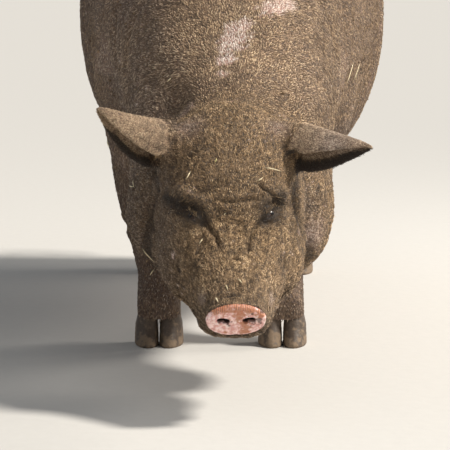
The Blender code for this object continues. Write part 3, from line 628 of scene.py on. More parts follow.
def inset(skin, ears):
    """Moves the skin in by the depth of the coat."""
    points, normals = arrays_of(skin)
    back = head_place(points)[:, 1]
    depth = FACE_DEPTH + (BODY_DEPTH - FACE_DEPTH) * smooth_step(back, 0.20, 0.42)
    depth = depth + (FACE_DEPTH - depth) * (1 - smooth_step(points[:, 2], 0.08, 0.30)) * (back > 0.4)
    depth = depth + (EAR_DEPTH - depth) * ears
    set_points(skin, points - normals * (depth + SWELL)[:, None])


def open_snout(skin):
    """Draws the skin back behind the face of the disc, so that its rim ends round the disc's edge."""
    points, _ = arrays_of(skin)
    place = head_place(points)
    oval = np.hypot(place[:, 0] / DISC_HALF[0], place[:, 2] / DISC_HALF[1])
    limit = DISC_RIM + DISC_POCKET * (1 - smooth_step(oval, 0.66, 0.96))
    front = (place[:, 1] < limit) & (place[:, 1] < 0.03) & (oval < 1.6)
    place[:, 1] = np.where(front, limit, place[:, 1])
    set_points(skin, np.where(front[:, None], carried(HEAD, place), points))


def set_eyes(skin):
    """Opens each slit over its globe, and shapes the lids round it."""
    points, _ = arrays_of(skin)
    for eye in eye_places():
        local = carried(eye.inverted(), points)
        across, out, up = local.T
        length = np.linalg.norm(local, axis=1)
        slit = slit_share(across, up)
        rim = EYE_RADIUS + 0.0008 + (LID - 0.0008) * smooth_step(slit, 1.05, 1.7)
        target = EYE_RADIUS - 0.0022 + (rim - EYE_RADIUS + 0.0022) * smooth_step(slit, 0.80, 1.05)
        share = (1 - smooth_step(slit, 1.5, 2.6)) * (out > 0) * (length < EYE_RADIUS + LID + 0.006)
        local = local * (1 + share * (target / length - 1))[:, None]
        points = np.where((share > 0)[:, None], carried(eye, local), points)
    set_points(skin, points)


def slope_pasterns(skin):
    """Draws the front of each pastern back where it meets the sloping wall of the claws."""
    points, _ = arrays_of(skin)
    for limb in LIMBS:
        low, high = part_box(f"{limb}_lower")
        mine = np.all((points > np.array(low) - 0.01) & (points < np.array(high) + 0.01), axis=1)
        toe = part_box(f"claw_{limb.replace('leg', '')}_outer")
        middle = (toe[0].y + toe[1].y) / 2
        ahead = smooth_step(middle - points[:, 1], 0.0, 0.035)
        points[:, 1] += mine * TOE_SLOPE * ahead * (1 - smooth_step(points[:, 2], low.z, low.z + 0.05))
        tight = 0.09 * np.exp(-(((points[:, 2] - 0.125) / 0.030) ** 2))
        tight = tight - 0.04 * (1 - smooth_step(points[:, 2], low.z, low.z + 0.016))
        for axis in (0, 1):
            centre = (low[axis] + high[axis]) / 2
            points[:, axis] += mine * tight * (centre - points[:, axis])
    set_points(skin, points)


def raise_teats(skin):
    """Draws blunt teats out of the belly, each with a low swelling round its foot."""
    points, _ = arrays_of(skin)
    for teat in teat_places():
        out = Vector((0.25 if teat.x > 0 else -0.25, 0, -1)).normalized()
        step = points - np.array(teat)
        side = np.linalg.norm(step - np.outer(step @ np.array(out), np.array(out)), axis=1)
        near = np.linalg.norm(step, axis=1) < TEAT_RADIUS * 4
        stem = TEAT_HEIGHT * (1 - smooth_step(side, TEAT_RADIUS * 0.30, TEAT_RADIUS * 1.35))
        swelling = 0.004 * (1 - smooth_step(side, TEAT_RADIUS * 0.8, TEAT_RADIUS * 3))
        points += np.outer(near * (stem + swelling), np.array(out))
    set_points(skin, points)
    relax(skin, gap_to(points, teat_places(), TEAT_SPREAD), 5)


def nose_mud(tree, points):
    """Where mud is caked thickest on the nose and over the brow, from 0 to 1."""
    total = np.zeros(len(points))
    for place, reach, share in NOSE_MUD:
        hit = seen(tree, place)[0]
        total = np.maximum(total, share * gap_to(points, (hit,), reach))
    return total


def sculpt(skin, ears):
    """Cuts the folds and lays caked mud over the skin. Gives how deep in a fold each corner is."""
    tree = tree_of(skin)
    points, normals = arrays_of(skin)
    move = np.zeros(len(points))
    crease = np.zeros(len(points))
    for name, (places, depth, width, ridge) in FOLDS.items():
        fold = groove(points, on_skin(tree, places), depth, width, ridge)
        move += fold
        share = 1.0 if name.startswith(CREASES) else 0.75 if name.startswith(SOFT_CREASES) else 0.0
        crease = np.maximum(crease, share * np.clip(-fold / 0.0042, 0, 1))
    lips = groove(points, mouth_line(tree), 0.0040, 0.0026, 0.45)
    move += lips
    crease = np.maximum(crease, np.clip(-lips / 0.0036, 0, 1))
    for places, depth, width, ridge in SIDE_FOLDS:
        for _, mirror in SIDES:
            line = side_line(tree, places, mirror)
            if len(line) > 2:
                move += groove(points, line, depth, width, ridge)
    for place, reach, depth in SIDE_HOLLOWS:
        for _, mirror in SIDES:
            for hit in side_line(tree, (place, place), mirror)[:1]:
                move -= depth * np.exp(-(np.linalg.norm(points - hit, axis=1) / reach) ** 2)
    cleft = [tree.ray_cast(Vector((x, 1.2, z)), Vector((0, -1, 0)))[0] for x, z in RUMP_CLEFT]
    move += groove(points, np.array([hit for hit in cleft if hit]), 0.012, 0.030, 0.3)
    for place, reach, depth in HOLLOWS.values():
        gap = np.linalg.norm(points - on_skin(tree, (place, place))[0], axis=1) / reach
        move -= depth * np.exp(-(gap**2)) * (1 - ears)
    back = head_place(points)[:, 1]
    clods = layered_noise(points, 0.011, 11)
    cracks = np.abs(layered_noise(points, 0.016, 21, 2) - 0.5) * 2
    grains = layered_noise(points, 0.0058, 17, 2)
    face = 1 - smooth_step(back, 0.30, 0.40)
    eyes = eye_gap(points)
    lids = smooth_step(eyes, EYE_RADIUS + LID + 0.0005, EYE_RADIUS + LID + 0.007)
    calm = (1 - ears) * smooth_step(eyes, 0.018, 0.030)
    nose = nose_mud(tree, points)
    caked = (0.0020 + 0.0030 * nose) * (clods - 0.5) - 0.0009 * (1 - smooth_step(cracks, 0.0, 0.16))
    caked += (0.0018 + 0.0022 * nose) * (grains - 0.5)
    move = move * lids + calm * face * caked
    move += calm * (1 - face) * 0.0030 * (layered_noise(points, 0.035, 31) - 0.5)
    move = move * (1 - gap_to(points, teat_places(), 0.030))
    set_points(skin, points + normals * move[:, None])
    return crease


# Where mud is caked: place in the photo, reach and share
NOSE_MUD = (((236, 250), 0.032, 1.0), ((228, 278), 0.026, 1.0), ((238, 228), 0.026, 0.8),
            ((212, 262), 0.030, 0.7),
            ((198, 245), 0.026, 0.6), ((262, 172), 0.030, 0.6), ((228, 212), 0.02, 0.4),
            ((184, 262), 0.018, 0.7))
# Where light is painted into the coat as a paler tone: place in the photo, reach and share
PAINTED_LIGHT_COAT = (((174, 212), 0.012, 1.0), ((184, 221), 0.013, 1.0), ((196, 232), 0.012, 0.9),
             ((232, 197), 0.020, 0.5),
             ((285, 232), 0.020, 0.5), ((240, 262), 0.030, 0.5), ((215, 240), 0.02, 0.4),
             ((135, 132), 0.05, 0.22),
             ((205, 290), 0.02, 0.6), ((225, 230), 0.022, 0.4), ((270, 285), 0.02, 0.6),
             ((170, 245), 0.02, 0.4), ((190, 45), 0.08, 0.78),
             ((115, 55), 0.10, 0.85), ((225, 105), 0.05, 0.45), ((225, 15), 0.07, 0.5),
             ((232, 50), 0.045, 1.0))
# Markings, and patches of painted shade: places in the photo, and how far each reaches over the skin
PINK_PATCHES = (((231, 45), 0.026), ((226, 62), 0.020), ((237, 31), 0.022), ((222, 73), 0.012),
                ((245, 24), 0.014),
                ((268, 8), 0.024), ((280, 3), 0.022))
TAN_PATCHES = (((235, 150), 0.10), ((235, 235), 0.07), ((262, 100), 0.08), ((330, 60), 0.12),
               ((215, 110), 0.06),
               ((200, 50), 0.09), ((215, 20), 0.09))
# Painted shade: darker patches on the side away from the key light, behind and under the ears, at the left
# temple and along the right jowl
PAINTED_SHADE_PATCHES = (((110, 60), 0.13), ((150, 105), 0.09), ((172, 70), 0.05), ((130, 200), 0.10),
                ((140, 240), 0.08),
                ((160, 185), 0.024), ((166, 170), 0.020), ((176, 125), 0.016), ((335, 140), 0.045),
                ((306, 205), 0.026), ((308, 236), 0.026))
GREY_PATCHES = (((190, 128), 0.020), ((186, 112), 0.018), ((278, 128), 0.018), ((330, 148), 0.03))
EAR_RIMS = {
    "left": ((163, 153), (152, 157), (137, 152), (127, 144), (117, 134), (100, 121)),
    "right": ((294, 148), (303, 158), (318, 157.5), (336, 153.5), (352, 149.5), (372, 145.5)),
}


def gap_to(points, places, reach):
    """How close points are to any of several places, from 0 to 1."""
    total = np.zeros(len(points))
    for place in places:
        total = np.maximum(total, np.exp(-((np.linalg.norm(points - np.array(place), axis=1)
                                            / reach) ** 2)))
    return total


def ear_inside(tree, points, ears):
    """How far below its rim each point of an ear lies: the shaded cup and its lobe."""
    below = np.zeros(len(points))
    for _, mirror in SIDES:
        rim = on_skin(tree, EAR_RIMS["right" if mirror == 1 else "left"])
        across, height = rim[:, 0], rim[:, 2]
        order = np.argsort(across)
        level = np.interp(points[:, 0], across[order], height[order])
        below = np.maximum(below, smooth_step(level - points[:, 2], 0.0, 0.006)
                           * (points[:, 0] * mirror > 0))
    return below * ears


def marks_of(tree, points, normals, ears, crease):
    """Markings of the body, with painted shade: how pink, how dark (dark skin and mud, with painted shade on
    the side away from the key light and in hollows) and how deep in painted shade, each from 0 to 1.
    """
    def patches(places):
        total = np.zeros(len(points))
        for place, reach in places:
            hit = seen(tree, place)[0]
            total = np.maximum(total, gap_to(points, (hit,), reach))
        return total

    x, y, z = points.T
    rough = layered_noise(points, 0.030, 41)
    speckle = layered_noise(points, 0.0048, 47, 2)
    pink = patches(PINK_PATCHES) + 0.9 * (rough - 0.5) + 1.3 * (speckle - 0.5)
    pink = smooth_step(pink, 0.46, 0.66)
    belly = smooth_step(-normals[:, 2], 0.35, 0.9) * (1 - smooth_step(z, 0.26, 0.36)) * (y > -0.35)
    pink = np.maximum(pink, belly * smooth_step(rough, 0.35, 0.65) * 0.7)
    back = head_place(points)[:, 1]
    body = smooth_step(back, 0.32, 0.42)
    blush = patches((((314, 236), 0.045), ((202, 300), 0.014), ((271, 300), 0.014)))
    pink = np.maximum(pink, 0.30 * smooth_step(blush + 0.9 * (speckle - 0.5), 0.3, 1.0))
    pink = np.maximum(pink, 0.9 * gap_to(points, teat_places(), 0.024))
    streaks = smooth_step(noise(grain_of(points), 0.008, 59), 0.45, 0.75) * smooth_step(back, *NECK_BLEND)
    pale = np.exp(-((x - 0.01) / 0.12) ** 2) * smooth_step(z, 0.62, 0.74)
    pink = np.maximum(pink, 0.50 * streaks * pale)
    pink = np.maximum(pink, 0.10 * body + 0.16 * ears)
    # Painted shade: the shade patches, and the side of the body and of the head away from the key light, are
    # darker
    dark = np.maximum(0.70 * patches(PAINTED_SHADE_PATCHES), 0.42 * smooth_step(-x, 0.02, 0.14) * body)
    dark = np.maximum(dark, 0.55 * smooth_step(-head_place(points)[:, 0], 0.055, 0.10) * (1 - ears))
    dark = dark * (1 - patches(TAN_PATCHES) * 0.75)
    trunk = smooth_step(y, -0.60, -0.30)
    drift = 0.5 * (layered_noise(points, 0.06, 53) - 0.5)
    drift = drift + 1.2 * (layered_noise(points, 0.13, 54) - 0.5) * trunk
    dark = dark + drift * body
    wet = smooth_step(0.40 - z + 0.36 * (layered_noise(points, 0.09, 57) - 0.5), 0.0,
                      0.07) * trunk * (1 - belly)
    dark = np.clip(np.maximum(dark, 0.55 * wet), 0, 1)
    dried = smooth_step(layered_noise(points, 0.10, 63), 0.54, 0.66) * trunk * (1 - wet)
    pink = np.maximum(pink, 0.26 * dried)
    grey = patches(GREY_PATCHES)
    pink, dark = np.maximum(pink, 0.30 * grey), np.maximum(dark, 0.32 * grey)
    # Painted shade round the eyes, along the brows, in the face's creases, in the ears' cups and in fine
    # crevices over the skin
    eyes = [eye @ Vector(step) for eye in eye_places() for step in ((0, 0.014, 0.0), (0, 0.012, 0.010))]
    shade = np.maximum(crease * 0.85, gap_to(points, eyes, 0.0190))
    for name in ("brow_left", "brow_right"):
        gaps, _ = along_line(points, on_skin(tree, FOLDS[name][0]), BROW_SHADE)
        shade = np.maximum(shade, np.exp(-(gaps**2)))
    shade = np.maximum(shade, smooth_step(ear_inside(tree, points, ears), 0.0, 0.5))
    crevices = smooth_step(0.46 - layered_noise(points, 0.0075, 15), 0.0, 0.10)
    shade = np.maximum(shade, np.maximum(0.60 * nose_mud(tree, points), 0.34 - 0.10 * body) * crevices)
    feet = 1 - smooth_step(z + 0.05 * (rough - 0.5), 0.10, 0.26)
    return np.stack([pink, np.maximum(dark, 0.5 * feet), shade], axis=1)


def put_marks(obj, marks, tone=None):
    put_layer(obj, "marks", "FLOAT_VECTOR", "vector", marks)
    if tone is not None:
        put_layer(obj, "tone", "FLOAT", "value", tone)


def grain_of(points):
    """Places pressed together along the coat's lie, so that a texture read there runs in streaks."""
    along = np.array(HEAD_TURN.to_3x3() @ Vector((0, 1, 0)))
    head = points - 0.72 * np.outer(points @ along, along)
    body = points * np.array((1, 0.30, 1))
    leg = points * np.array((1, 1, 0.30))
    share = smooth_step(head_place(points)[:, 1], *NECK_BLEND)[:, None]
    foot = (1 - smooth_step(points[:, 2], 0.22, 0.30))[:, None] * (points[:, 1] > -0.4)[:, None]
    return head * (1 - share) + (body * (1 - foot) + leg * foot) * share


def lie_field(points, normals, ears):
    """The way the coat lies at each point of the skin."""
    turn = np.array(HEAD_TURN)[:3, :3]
    place = head_place(points)
    count = len(points)
    outward = np.clip(place[:, 0] / 0.07, -1, 1)
    face = np.outer(np.ones(count), (0, 1, 0)) + np.outer(outward,
        (0.55, 0, 0)) + np.outer(np.abs(outward), (0, 0, -0.25))
    face = face @ turn.T
    side = np.abs(normals[:, 0])
    body = np.stack([0.15 * np.sign(normals[:, 0]) * side, np.ones(count), -0.75 * side], axis=1)
    share = smooth_step(place[:, 1], 0.28, 0.42)[:, None]
    lie = face * (1 - share) + body * share
    leg = (1 - smooth_step(points[:, 2], 0.28, 0.46)) * smooth_step(points[:, 1], -0.42, -0.34)
    leg = leg * (1 - smooth_step(-normals[:, 2], 0.45, 0.8))
    lie = lie * (1 - leg[:, None]) + np.array((0, 0.30, -1.0)) * leg[:, None]
    tail = smooth_step(points[:, 1], 0.896, 0.902)[:, None]
    lie = lie * (1 - tail) + np.array((0.1, 0.15, -1.0)) * tail
    for (_, mirror), reach in zip(SIDES, EAR_REACH):
        along = HEAD_TURN.to_3x3() @ Vector(reach)
        on = (ears * (points[:, 0] * mirror > 0))[:, None]
        lie = lie * (1 - on) + np.array(along.normalized()) * on
    spin = (layered_noise(points, 0.045, 61) - 0.5) * 1.7 + (layered_noise(points, 0.012, 67, 2)
                                                             - 0.5) * 1.5
    lie = flattened(lie, normals)
    across = np.cross(normals, lie)
    return unit(lie * np.cos(spin)[:, None] + across * np.sin(spin)[:, None])


def surface_of(skin):
    """The skin's corners, normals, triangles and their areas as arrays."""
    skin.data.calc_loop_triangles()
    corners = np.empty(len(skin.data.loop_triangles) * 3, dtype=np.int32)
    skin.data.loop_triangles.foreach_get("vertices", corners)
    triangles = corners.reshape(-1, 3)
    points, normals = arrays_of(skin)
    sides = points[triangles[:, 1:]] - points[triangles[:, :1]]
    return points, normals, triangles, np.linalg.norm(np.cross(sides[:, 0], sides[:, 1]), axis=1) / 2


def scatter(surface, density, count, seed):
    """Seeded places over the skin by density, as three corners of the skin and their shares."""
    _, _, triangles, areas = surface
    rng = np.random.default_rng(seed)
    share = np.cumsum(areas * density[triangles].mean(axis=1))
    picks = (np.arange(count) + rng.random(count)) / count * share[-1]
    chosen = triangles[np.minimum(np.searchsorted(share, picks), len(triangles) - 1)]
    a, b = rng.random((2, count))
    a, b = np.where(a + b > 1, 1 - a, a), np.where(a + b > 1, 1 - b, b)
    return chosen, np.stack([1 - a - b, a, b], axis=1)


def read_at(field, places):
    """A field of the skin's corners, read at scattered places."""
    chosen, shares = places
    if field.ndim == 1:
        return np.sum(field[chosen] * shares, axis=1)
    return np.sum(field[chosen] * shares[:, :, None], axis=1)


def tuft_mesh(name, rings, faces, patch, marks, tone):
    """One mesh of many like tufts: their corners, the faces of one, and its patch on the unwrap."""
    count, corners, _ = rings.shape
    data = bpy.data.meshes.new(name)
    data.vertices.add(count * corners)
    data.vertices.foreach_set("co", rings.astype(np.float32).ravel())
    faces = np.array(faces, dtype=np.int32)
    index = (np.arange(count)[:, None, None] * corners + faces).reshape(-1)
    data.loops.add(len(index))
    data.loops.foreach_set("vertex_index", index.astype(np.int32))
    data.polygons.add(len(index) // 3)
    data.polygons.foreach_set("loop_start", np.arange(0, len(index), 3, dtype=np.int32))
    data.polygons.foreach_set("use_smooth", np.ones(len(index) // 3, dtype=bool))
    data.update(calc_edges=True)
    layer = data.uv_layers.new(name="OFBake")
    layer.data.foreach_set("uv", patch[:, faces].reshape(-1).astype(np.float32))
    obj = bpy.data.objects.new(name, data)
    bpy.context.scene.collection.objects.link(obj)
    tone = np.broadcast_to(tone if tone.ndim == 2 else tone[:, None], (count, corners))
    put_marks(obj, np.repeat(marks, corners, axis=0), tone.ravel())
    return obj


def tufts(name, roots, normals, lies, lengths, widths, lifts, uv, marks, tone, bends=None):
    """Flat closed spindles that rise from the skin and lie along it. With bends they curve sideways."""
    across = np.cross(normals, lies)

    def at(share, height, bend=0.0):
        place = roots + lies * (lengths * share)[:, None] + normals * (lengths * lifts * height)[:, None]
        return place + across * (lengths * bend)[:, None]

    def ring(centre, size):
        wide, high = (widths * size / 2)[:, None], (widths * size * 0.6)[:, None]
        return [centre - across * wide, centre + across * wide, centre + normals * high]

    base = roots - normals * 0.0006
    if bends is None:
        middle, wide = at(0.40, 0.75) + normals * (widths * 0.30)[:, None], (widths / 2)[:, None]
        corners = [base, middle - across * wide, middle + across * wide, at(1, 1)]
        faces = [(0, 2, 1), (3, 1, 2), (0, 1, 3), (0, 3, 2)]
        spots = [(0, -1), (-1, 0), (1, 0), (0, 1)]
    else:
        corners = [base, *ring(at(0.30, 0.45, bends * 0.12), 1.0),
                   *ring(at(0.68, 0.9, bends * 0.50), 0.75), at(1, 1, bends)]
        faces = [(0, 2, 1), (0, 3, 2), (0, 1, 3), (7, 4, 5), (7, 5, 6), (7, 6, 4)]
        for a, b in ((1, 2), (2, 3), (3, 1)):
            faces += [(a, b, b + 3), (a, b + 3, a + 3)]
        spots = [(0, -1), (-1, -0.4), (1, -0.4), (0, -0.2), (-0.8, 0.4), (0.8, 0.4), (0, 0.6), (0, 1)]
    rings = np.clip(np.stack(corners, axis=1), np.array(CAD_LOW) + 0.0003, np.array(CAD_HIGH) - 0.0003)
    patch = uv[:, None, :] + np.array(spots)[None] * 0.0015
    return tuft_mesh(name, rings, faces, patch, marks, tone)


def unwrap(points, part):
    """Where roots lie on an unwrap of the part's own shape, from 0 to 1 both ways."""
    x, y, z = points.T
    if part == "head":
        place = head_place(points)
        turn, run = np.arctan2(place[:, 0], place[:, 2] + 0.01), (place[:, 1] + 0.02) / 0.62
    elif part == "leg":
        chart = 2 * (y > 0.3) + (x > 0)
        middle_x = np.where(x > 0, 0.098, -0.14)
        middle_y = np.where(y > 0.3, 0.69, -0.21)
        turn = np.arctan2(x - middle_x, y - middle_y) / 4.2 + (chart - 1.5) * math.pi / 2
        run = z / 0.7
    elif part == "ear":
        place = head_place(points)
        reach = (np.abs(place[:, 0]) - 0.05) / 0.2
        turn, run = np.sign(x) * math.pi * (0.1 + 0.8 * np.clip((place[:, 2] - 0.02) / 0.16, 0, 1)), reach
    elif part == "tail":
        turn, run = np.arctan2(x - 0.02, y - 0.91), (z - 0.48) / 0.25
    else:
        turn, run = np.arctan2(x, z - 0.54), (y + 0.80) / 1.75
    return np.clip(np.stack([turn / math.tau + 0.5, run], axis=1), 0.002, 0.998)


# The coat: lengths on the face and what the body, crest, muzzle, legs and coronets add, and on the ears
FACE_HAIR = 0.0040
BODY_HAIR = 0.0036
MUZZLE_HAIR = -0.0012
CREST_HAIR = 0.004
LEG_HAIR = -0.0022
CORONET_HAIR = 0.0050
EAR_HAIR = 0.0042
HAIR_WIDTH = 0.0009
# How a tuft's tone runs from its root over its two sides to its tip; the darker root is painted shade where
# the tuft meets the skin
TUFT_TONES = (0.40, 0.90, 0.90, 1.08)
# Pieces of the coat: the part whose unwrap each uses, how many tufts it has, and its seed
COAT = (
    ("coat_muzzle", "head", 47000, 101),
    ("coat_brow", "head", 48000, 103),
    ("coat_ears", "ear", 34000, 107),
    ("coat_neck", "head", 48000, 109),
    ("coat_shoulders", "body", 46000, 113),
    ("coat_flanks", "body", 36000, 127),
    ("coat_rump", "body", 36000, 131),
    ("coat_legs", "leg", 26000, 137),
    ("coat_tail", "tail", 3000, 139),
)
EAR_REACH = ((0.132, -0.075, -0.008), (-0.112, -0.075, 0.057))


def regions_of(points, normals, ears):
    """The share of each corner of the skin that each piece of the coat covers."""
    back = head_place(points)[:, 1]
    y, z = points[:, 1], points[:, 2]
    tail = smooth_step(y, 0.893, 0.897)
    legs = (1 - smooth_step(z, 0.34, 0.36)) * (y > -0.40) * (1 - (normals[:, 2] < -0.55) * (z > 0.20))
    flesh = (1 - ears) * (1 - tail)
    trunk = flesh * (1 - legs) * (back > 0.34)
    return {
        "coat_muzzle": flesh * (back <= 0.15),
        "coat_brow": flesh * (back > 0.15) * (back <= 0.34),
        "coat_ears": ears,
        "coat_neck": trunk * (y <= -0.42),
        "coat_shoulders": trunk * (y > -0.42) * (y <= 0.0),
        "coat_flanks": trunk * (y > 0.0) * (y <= 0.45),
        "coat_rump": trunk * (y > 0.45),
        "coat_legs": flesh * legs,
        "coat_tail": tail,
    }


def bare(points):
    """How clear of tufts the skin keeps near the disc, the teats, the slits of the eyes and the coronets."""
    place = head_place(points)
    keep = np.where(place[:, 1] < 0.02, smooth_step(place[:, 1], DISC_RIM + 0.0006, DISC_RIM + 0.0024),
                    1.0)
    keep = keep * smooth_step(0.8 - gap_to(points, teat_places(), 0.045), 0, 0.3)
    for eye in eye_places():
        across, out, up = carried(eye.inverted(), points).T
        slit = slit_share(across, up)
        keep = keep * np.where((np.abs(out) < 0.03) & (slit < 2.0), 0, 1)
    return keep * smooth_step(points[:, 2] + 0.004 * (noise(points, 0.009, 43) - 0.5), 0.049, 0.051)


def build_coat(skin, tree, ears, marks):
    """The muddy coat in pieces, thin tufts that overlap along its lie."""
    surface = surface_of(skin)
    points, normals, _, _ = surface
    mud = nose_mud(tree, points)
    # Painted light: the coat's tone is made paler where light falls on it
    lit = np.zeros(len(points))
    for place, reach, share in PAINTED_LIGHT_COAT:
        lit = np.maximum(lit, share * gap_to(points, on_skin(tree, (place, place))[:1], reach))
    keep = bare(points) * (1 - 0.55 * marks[:, 2])
    lie = lie_field(points, normals, ears)
    regions = regions_of(points, normals, ears)
    back = head_place(points)[:, 1]
    crest = smooth_step(normals[:, 2], 0.55, 0.9) * smooth_step(back,
        *NECK_BLEND) * smooth_step(points[:, 2], 0.6, 0.7)
    length = FACE_HAIR + BODY_HAIR * smooth_step(back, 0.14, 0.45)
    length = length + MUZZLE_HAIR * (1 - smooth_step(back, 0.01, 0.06))
    length = length + CREST_HAIR * crest
    length = length + LEG_HAIR * (1 - smooth_step(points[:, 2], 0.10, 0.30)) * (back > 0.4)
    length = length + CORONET_HAIR * (1 - smooth_step(points[:, 2], 0.052, 0.060)) * (back > 0.4)
    length = length + (EAR_HAIR - length) * np.maximum(ears, regions["coat_tail"])
    eyes = eye_gap(points)
    length = length * (0.55 + 0.45 * smooth_step(eyes, 0.018, 0.032))
    width = HAIR_WIDTH + 0.0004 * smooth_step(back, 0.15, 0.45) - 0.0002 * ears
    made = []
    for name, part, count, seed in COAT:
        places = scatter(surface, regions[name] * keep, count, seed)
        rng = np.random.default_rng(seed + 1)
        roots, up = read_at(points, places), unit(read_at(normals, places))
        way = read_at(lie, places)
        way = flattened(way, up)
        spin = rng.normal(0, 0.22, count)
        way = way * np.cos(spin)[:, None] + np.cross(up, way) * np.sin(spin)[:, None]
        long = read_at(length, places) * rng.uniform(0.65, 1.25, count)
        wide = read_at(width, places) * rng.uniform(0.7, 1.3, count)
        lift = rng.uniform(0.02, 0.13, count)
        clump = smooth_step(noise(grain_of(roots), 0.0023, 71), 0.36, 0.64)
        patch = layered_noise(roots, 0.012, 73, 2)
        broad = layered_noise(roots, 0.11, 79) - 0.5
        # Paler tone on the crests of caked mud: dried mud, with a painted highlight where the crests stand
        # up
        clod = smooth_step(layered_noise(roots, 0.011, 11), 0.40, 0.62) * read_at(mud, places)
        calm = read_at(ears, places)
        tone = 0.50 * rng.beta(0.70, 0.80, count) + (0.30 - 0.16 * calm) * clump + 0.16 * patch + 0.04
        tone = tone + 0.22 * calm + 0.14 * broad + 0.10 * clod + 0.26 * read_at(lit, places)
        lift = lift * (0.6 + 0.8 * clump)
        tone = np.clip(tone, 0, 1)[:, None] * np.array(TUFT_TONES)
        uv = unwrap(roots, part)
        made.append(tufts(name, roots, up, way, long, wide, lift, uv, read_at(marks, places), tone))
    return made


def bristles(name, part, roots, ups, ways, sizes, marks, tone, seed):
    """Long single hairs: sizes are their least and most length, width, lift and bend."""
    rng = np.random.default_rng(seed)
    count = len(roots)
    long, wide, lift, bend = (rng.uniform(low, high, count) for low, high in sizes)
    return tufts(name, roots, ups, ways, long, wide, lift, unwrap(roots, part), marks, tone, bend)


def turned(ways, ups, angle):
    return ways * np.cos(angle)[:, None] + np.cross(ups, ways) * np.sin(angle)[:, None]


def build_lashes(tree):
    """Pale lashes along both lids and longer hairs that hang over each eye from its brow."""
    rng = np.random.default_rng(211)
    roots, ups, ways = [], [], []
    for (_, mirror), eye in zip(SIDES, eye_places()):
        turn = eye.to_3x3()
        for k in range(LASHES):
            angle = math.pi * (0.04 + 0.92 * (k + rng.random()) / LASHES)
            across, up = (
                SLIT_HALF_LENGTH * 1.15 * math.cos(angle), SLIT_HALF_HEIGHT * 1.5 * math.sin(angle)
            )
            hit, normal, _, _ = tree.find_nearest(eye @ Vector((across, EYE_RADIUS + LID, up)))
            out = turn @ Vector((across / SLIT_HALF_LENGTH * 0.8 + 0.5 * mirror, 1.0,
                                 0.2 + rng.normal(0, 0.25)))
            roots.append(hit)
            ups.append(normal)
            ways.append(out)
        for place in BROW_HAIRS["right" if mirror == 1 else "left"]:
            for _ in range(BROW_HAIR_COUNT):
                spot = (place[0] + rng.normal(0, 2.4), place[1] + rng.normal(0, 1.6))
                hit, normal = seen(tree, spot)
                out = Vector((0.75 * mirror + rng.normal(0, 0.06), -0.35, -0.75 + rng.normal(0, 0.06)))
                roots.append(hit)
                ups.append(normal)
                ways.append(out)
    roots, ups, ways = (np.array(row) for row in (roots, ups, ways))
    ways = flattened(ways, ups, 0.9)
    count = len(roots)
    sizes = ((0.005, 0.010), (0.00024, 0.00036), (0.05, 0.18), (-0.20, 0.20))
    marks = np.zeros((count, 3))
    return bristles("lashes", "head", roots, ups, ways, sizes, marks, rng.uniform(0.18, 0.85, count), 213)


def build_ear_fringe(tree):
    """Hairs that hang from each ear's rim over its shaded cup."""
    rng = np.random.default_rng(223)
    roots, ups, ways = [], [], []
    for _, mirror in SIDES:
        rim = EAR_RIMS["right" if mirror == 1 else "left"]
        for start, end in zip(rim, rim[1:]):
            for _ in range(FRINGE):
                share = rng.random()
                spot = [a + (b - a) * share + rng.normal(0, 1.4) for a, b in zip(start, end)]
                hit, normal = seen(tree, spot)
                if hit is None or not 0.07 < abs(hit.x) < 0.155:
                    continue
                roots.append(hit)
                ups.append(normal)
                ways.append(Vector((mirror * rng.uniform(0.1, 0.8), -0.15, -1.0)))
    roots, ups, ways = (np.array(row) for row in (roots, ups, ways))
    ways = flattened(ways, ups, 0.8)
    count = len(roots)
    sizes = ((0.005, 0.011), (0.0005, 0.0009), (0.02, 0.12), (-0.35, 0.35))
    marks = np.zeros((count, 3))
    return bristles("ear_fringe", "ear", roots, ups, ways, sizes, marks, rng.uniform(0.08, 0.60, count),
                    227)


def build_guard_hairs(skin, ears, marks):
    """Sparse longer hairs that stand out of the coat, thickest along the crest and over the head."""
    surface = surface_of(skin)
    points, normals, _, _ = surface
    back = head_place(points)[:, 1]
    crest = smooth_step(normals[:, 2], 0.6, 0.95) * smooth_step(points[:, 2], 0.55, 0.7)
    body = (back > 0.30) * (points[:, 2] > 0.16) * (points[:, 1] < 0.89)
    density = bare(points) * (1 - ears) * np.maximum(body * (0.5 + 2.5 * crest), 2.2 * (back < 0.30))
    places = scatter(surface, density, GUARD_HAIRS, 229)
    rng = np.random.default_rng(231)
    roots, ups = read_at(points, places), unit(read_at(normals, places))
    ways = read_at(lie_field(points, normals, ears), places)
    ways = turned(flattened(ways, ups), ups, rng.normal(0, 0.45, GUARD_HAIRS))
    head = head_place(roots)[:, 1] < 0.30
    sizes = ((0.010, 0.020), (0.0005, 0.0009), (0.03, 0.16), (-0.3, 0.3))
    scale = np.where(head, 0.50, 1.0)
    made = bristles("guard_hairs", "body", roots, ups, ways, sizes,
                    read_at(marks, places) * (0.6, 0.7, 0), rng.uniform(0.5, 1.0, GUARD_HAIRS), 233)
    corners, _ = arrays_of(made)
    corners = corners.reshape(GUARD_HAIRS, 8, 3)
    corners = roots[:, None] + (corners - roots[:, None]) * scale[:, None, None]
    set_points(made, corners.reshape(-1, 3))
    return made


def build_tail_brush(skin):
    """The long hairs at the end of the tail."""
    low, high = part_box("tail_tip")
    points, normals = arrays_of(skin)
    near = np.flatnonzero((points[:, 1] > 0.896) & (points[:, 2] < low.z + 0.55 * (high.z - low.z)))
    rng = np.random.default_rng(239)
    chosen = rng.choice(near, TAIL_HAIRS)
    roots, ups = points[chosen], normals[chosen]
    ways = unit(np.array((0.05, 0.0, -1.0)) + rng.normal(0, 0.16, (TAIL_HAIRS, 3)))
    sizes = ((0.012, 0.032), (0.0006, 0.0010), (0.0, 0.06), (-0.35, 0.35))
    marks = np.tile((0, 0.5, 0), (TAIL_HAIRS, 1))
    return bristles("tail_brush", "tail", roots, ups, ways, sizes, marks,
                    rng.uniform(0.1, 0.8, TAIL_HAIRS), 241)


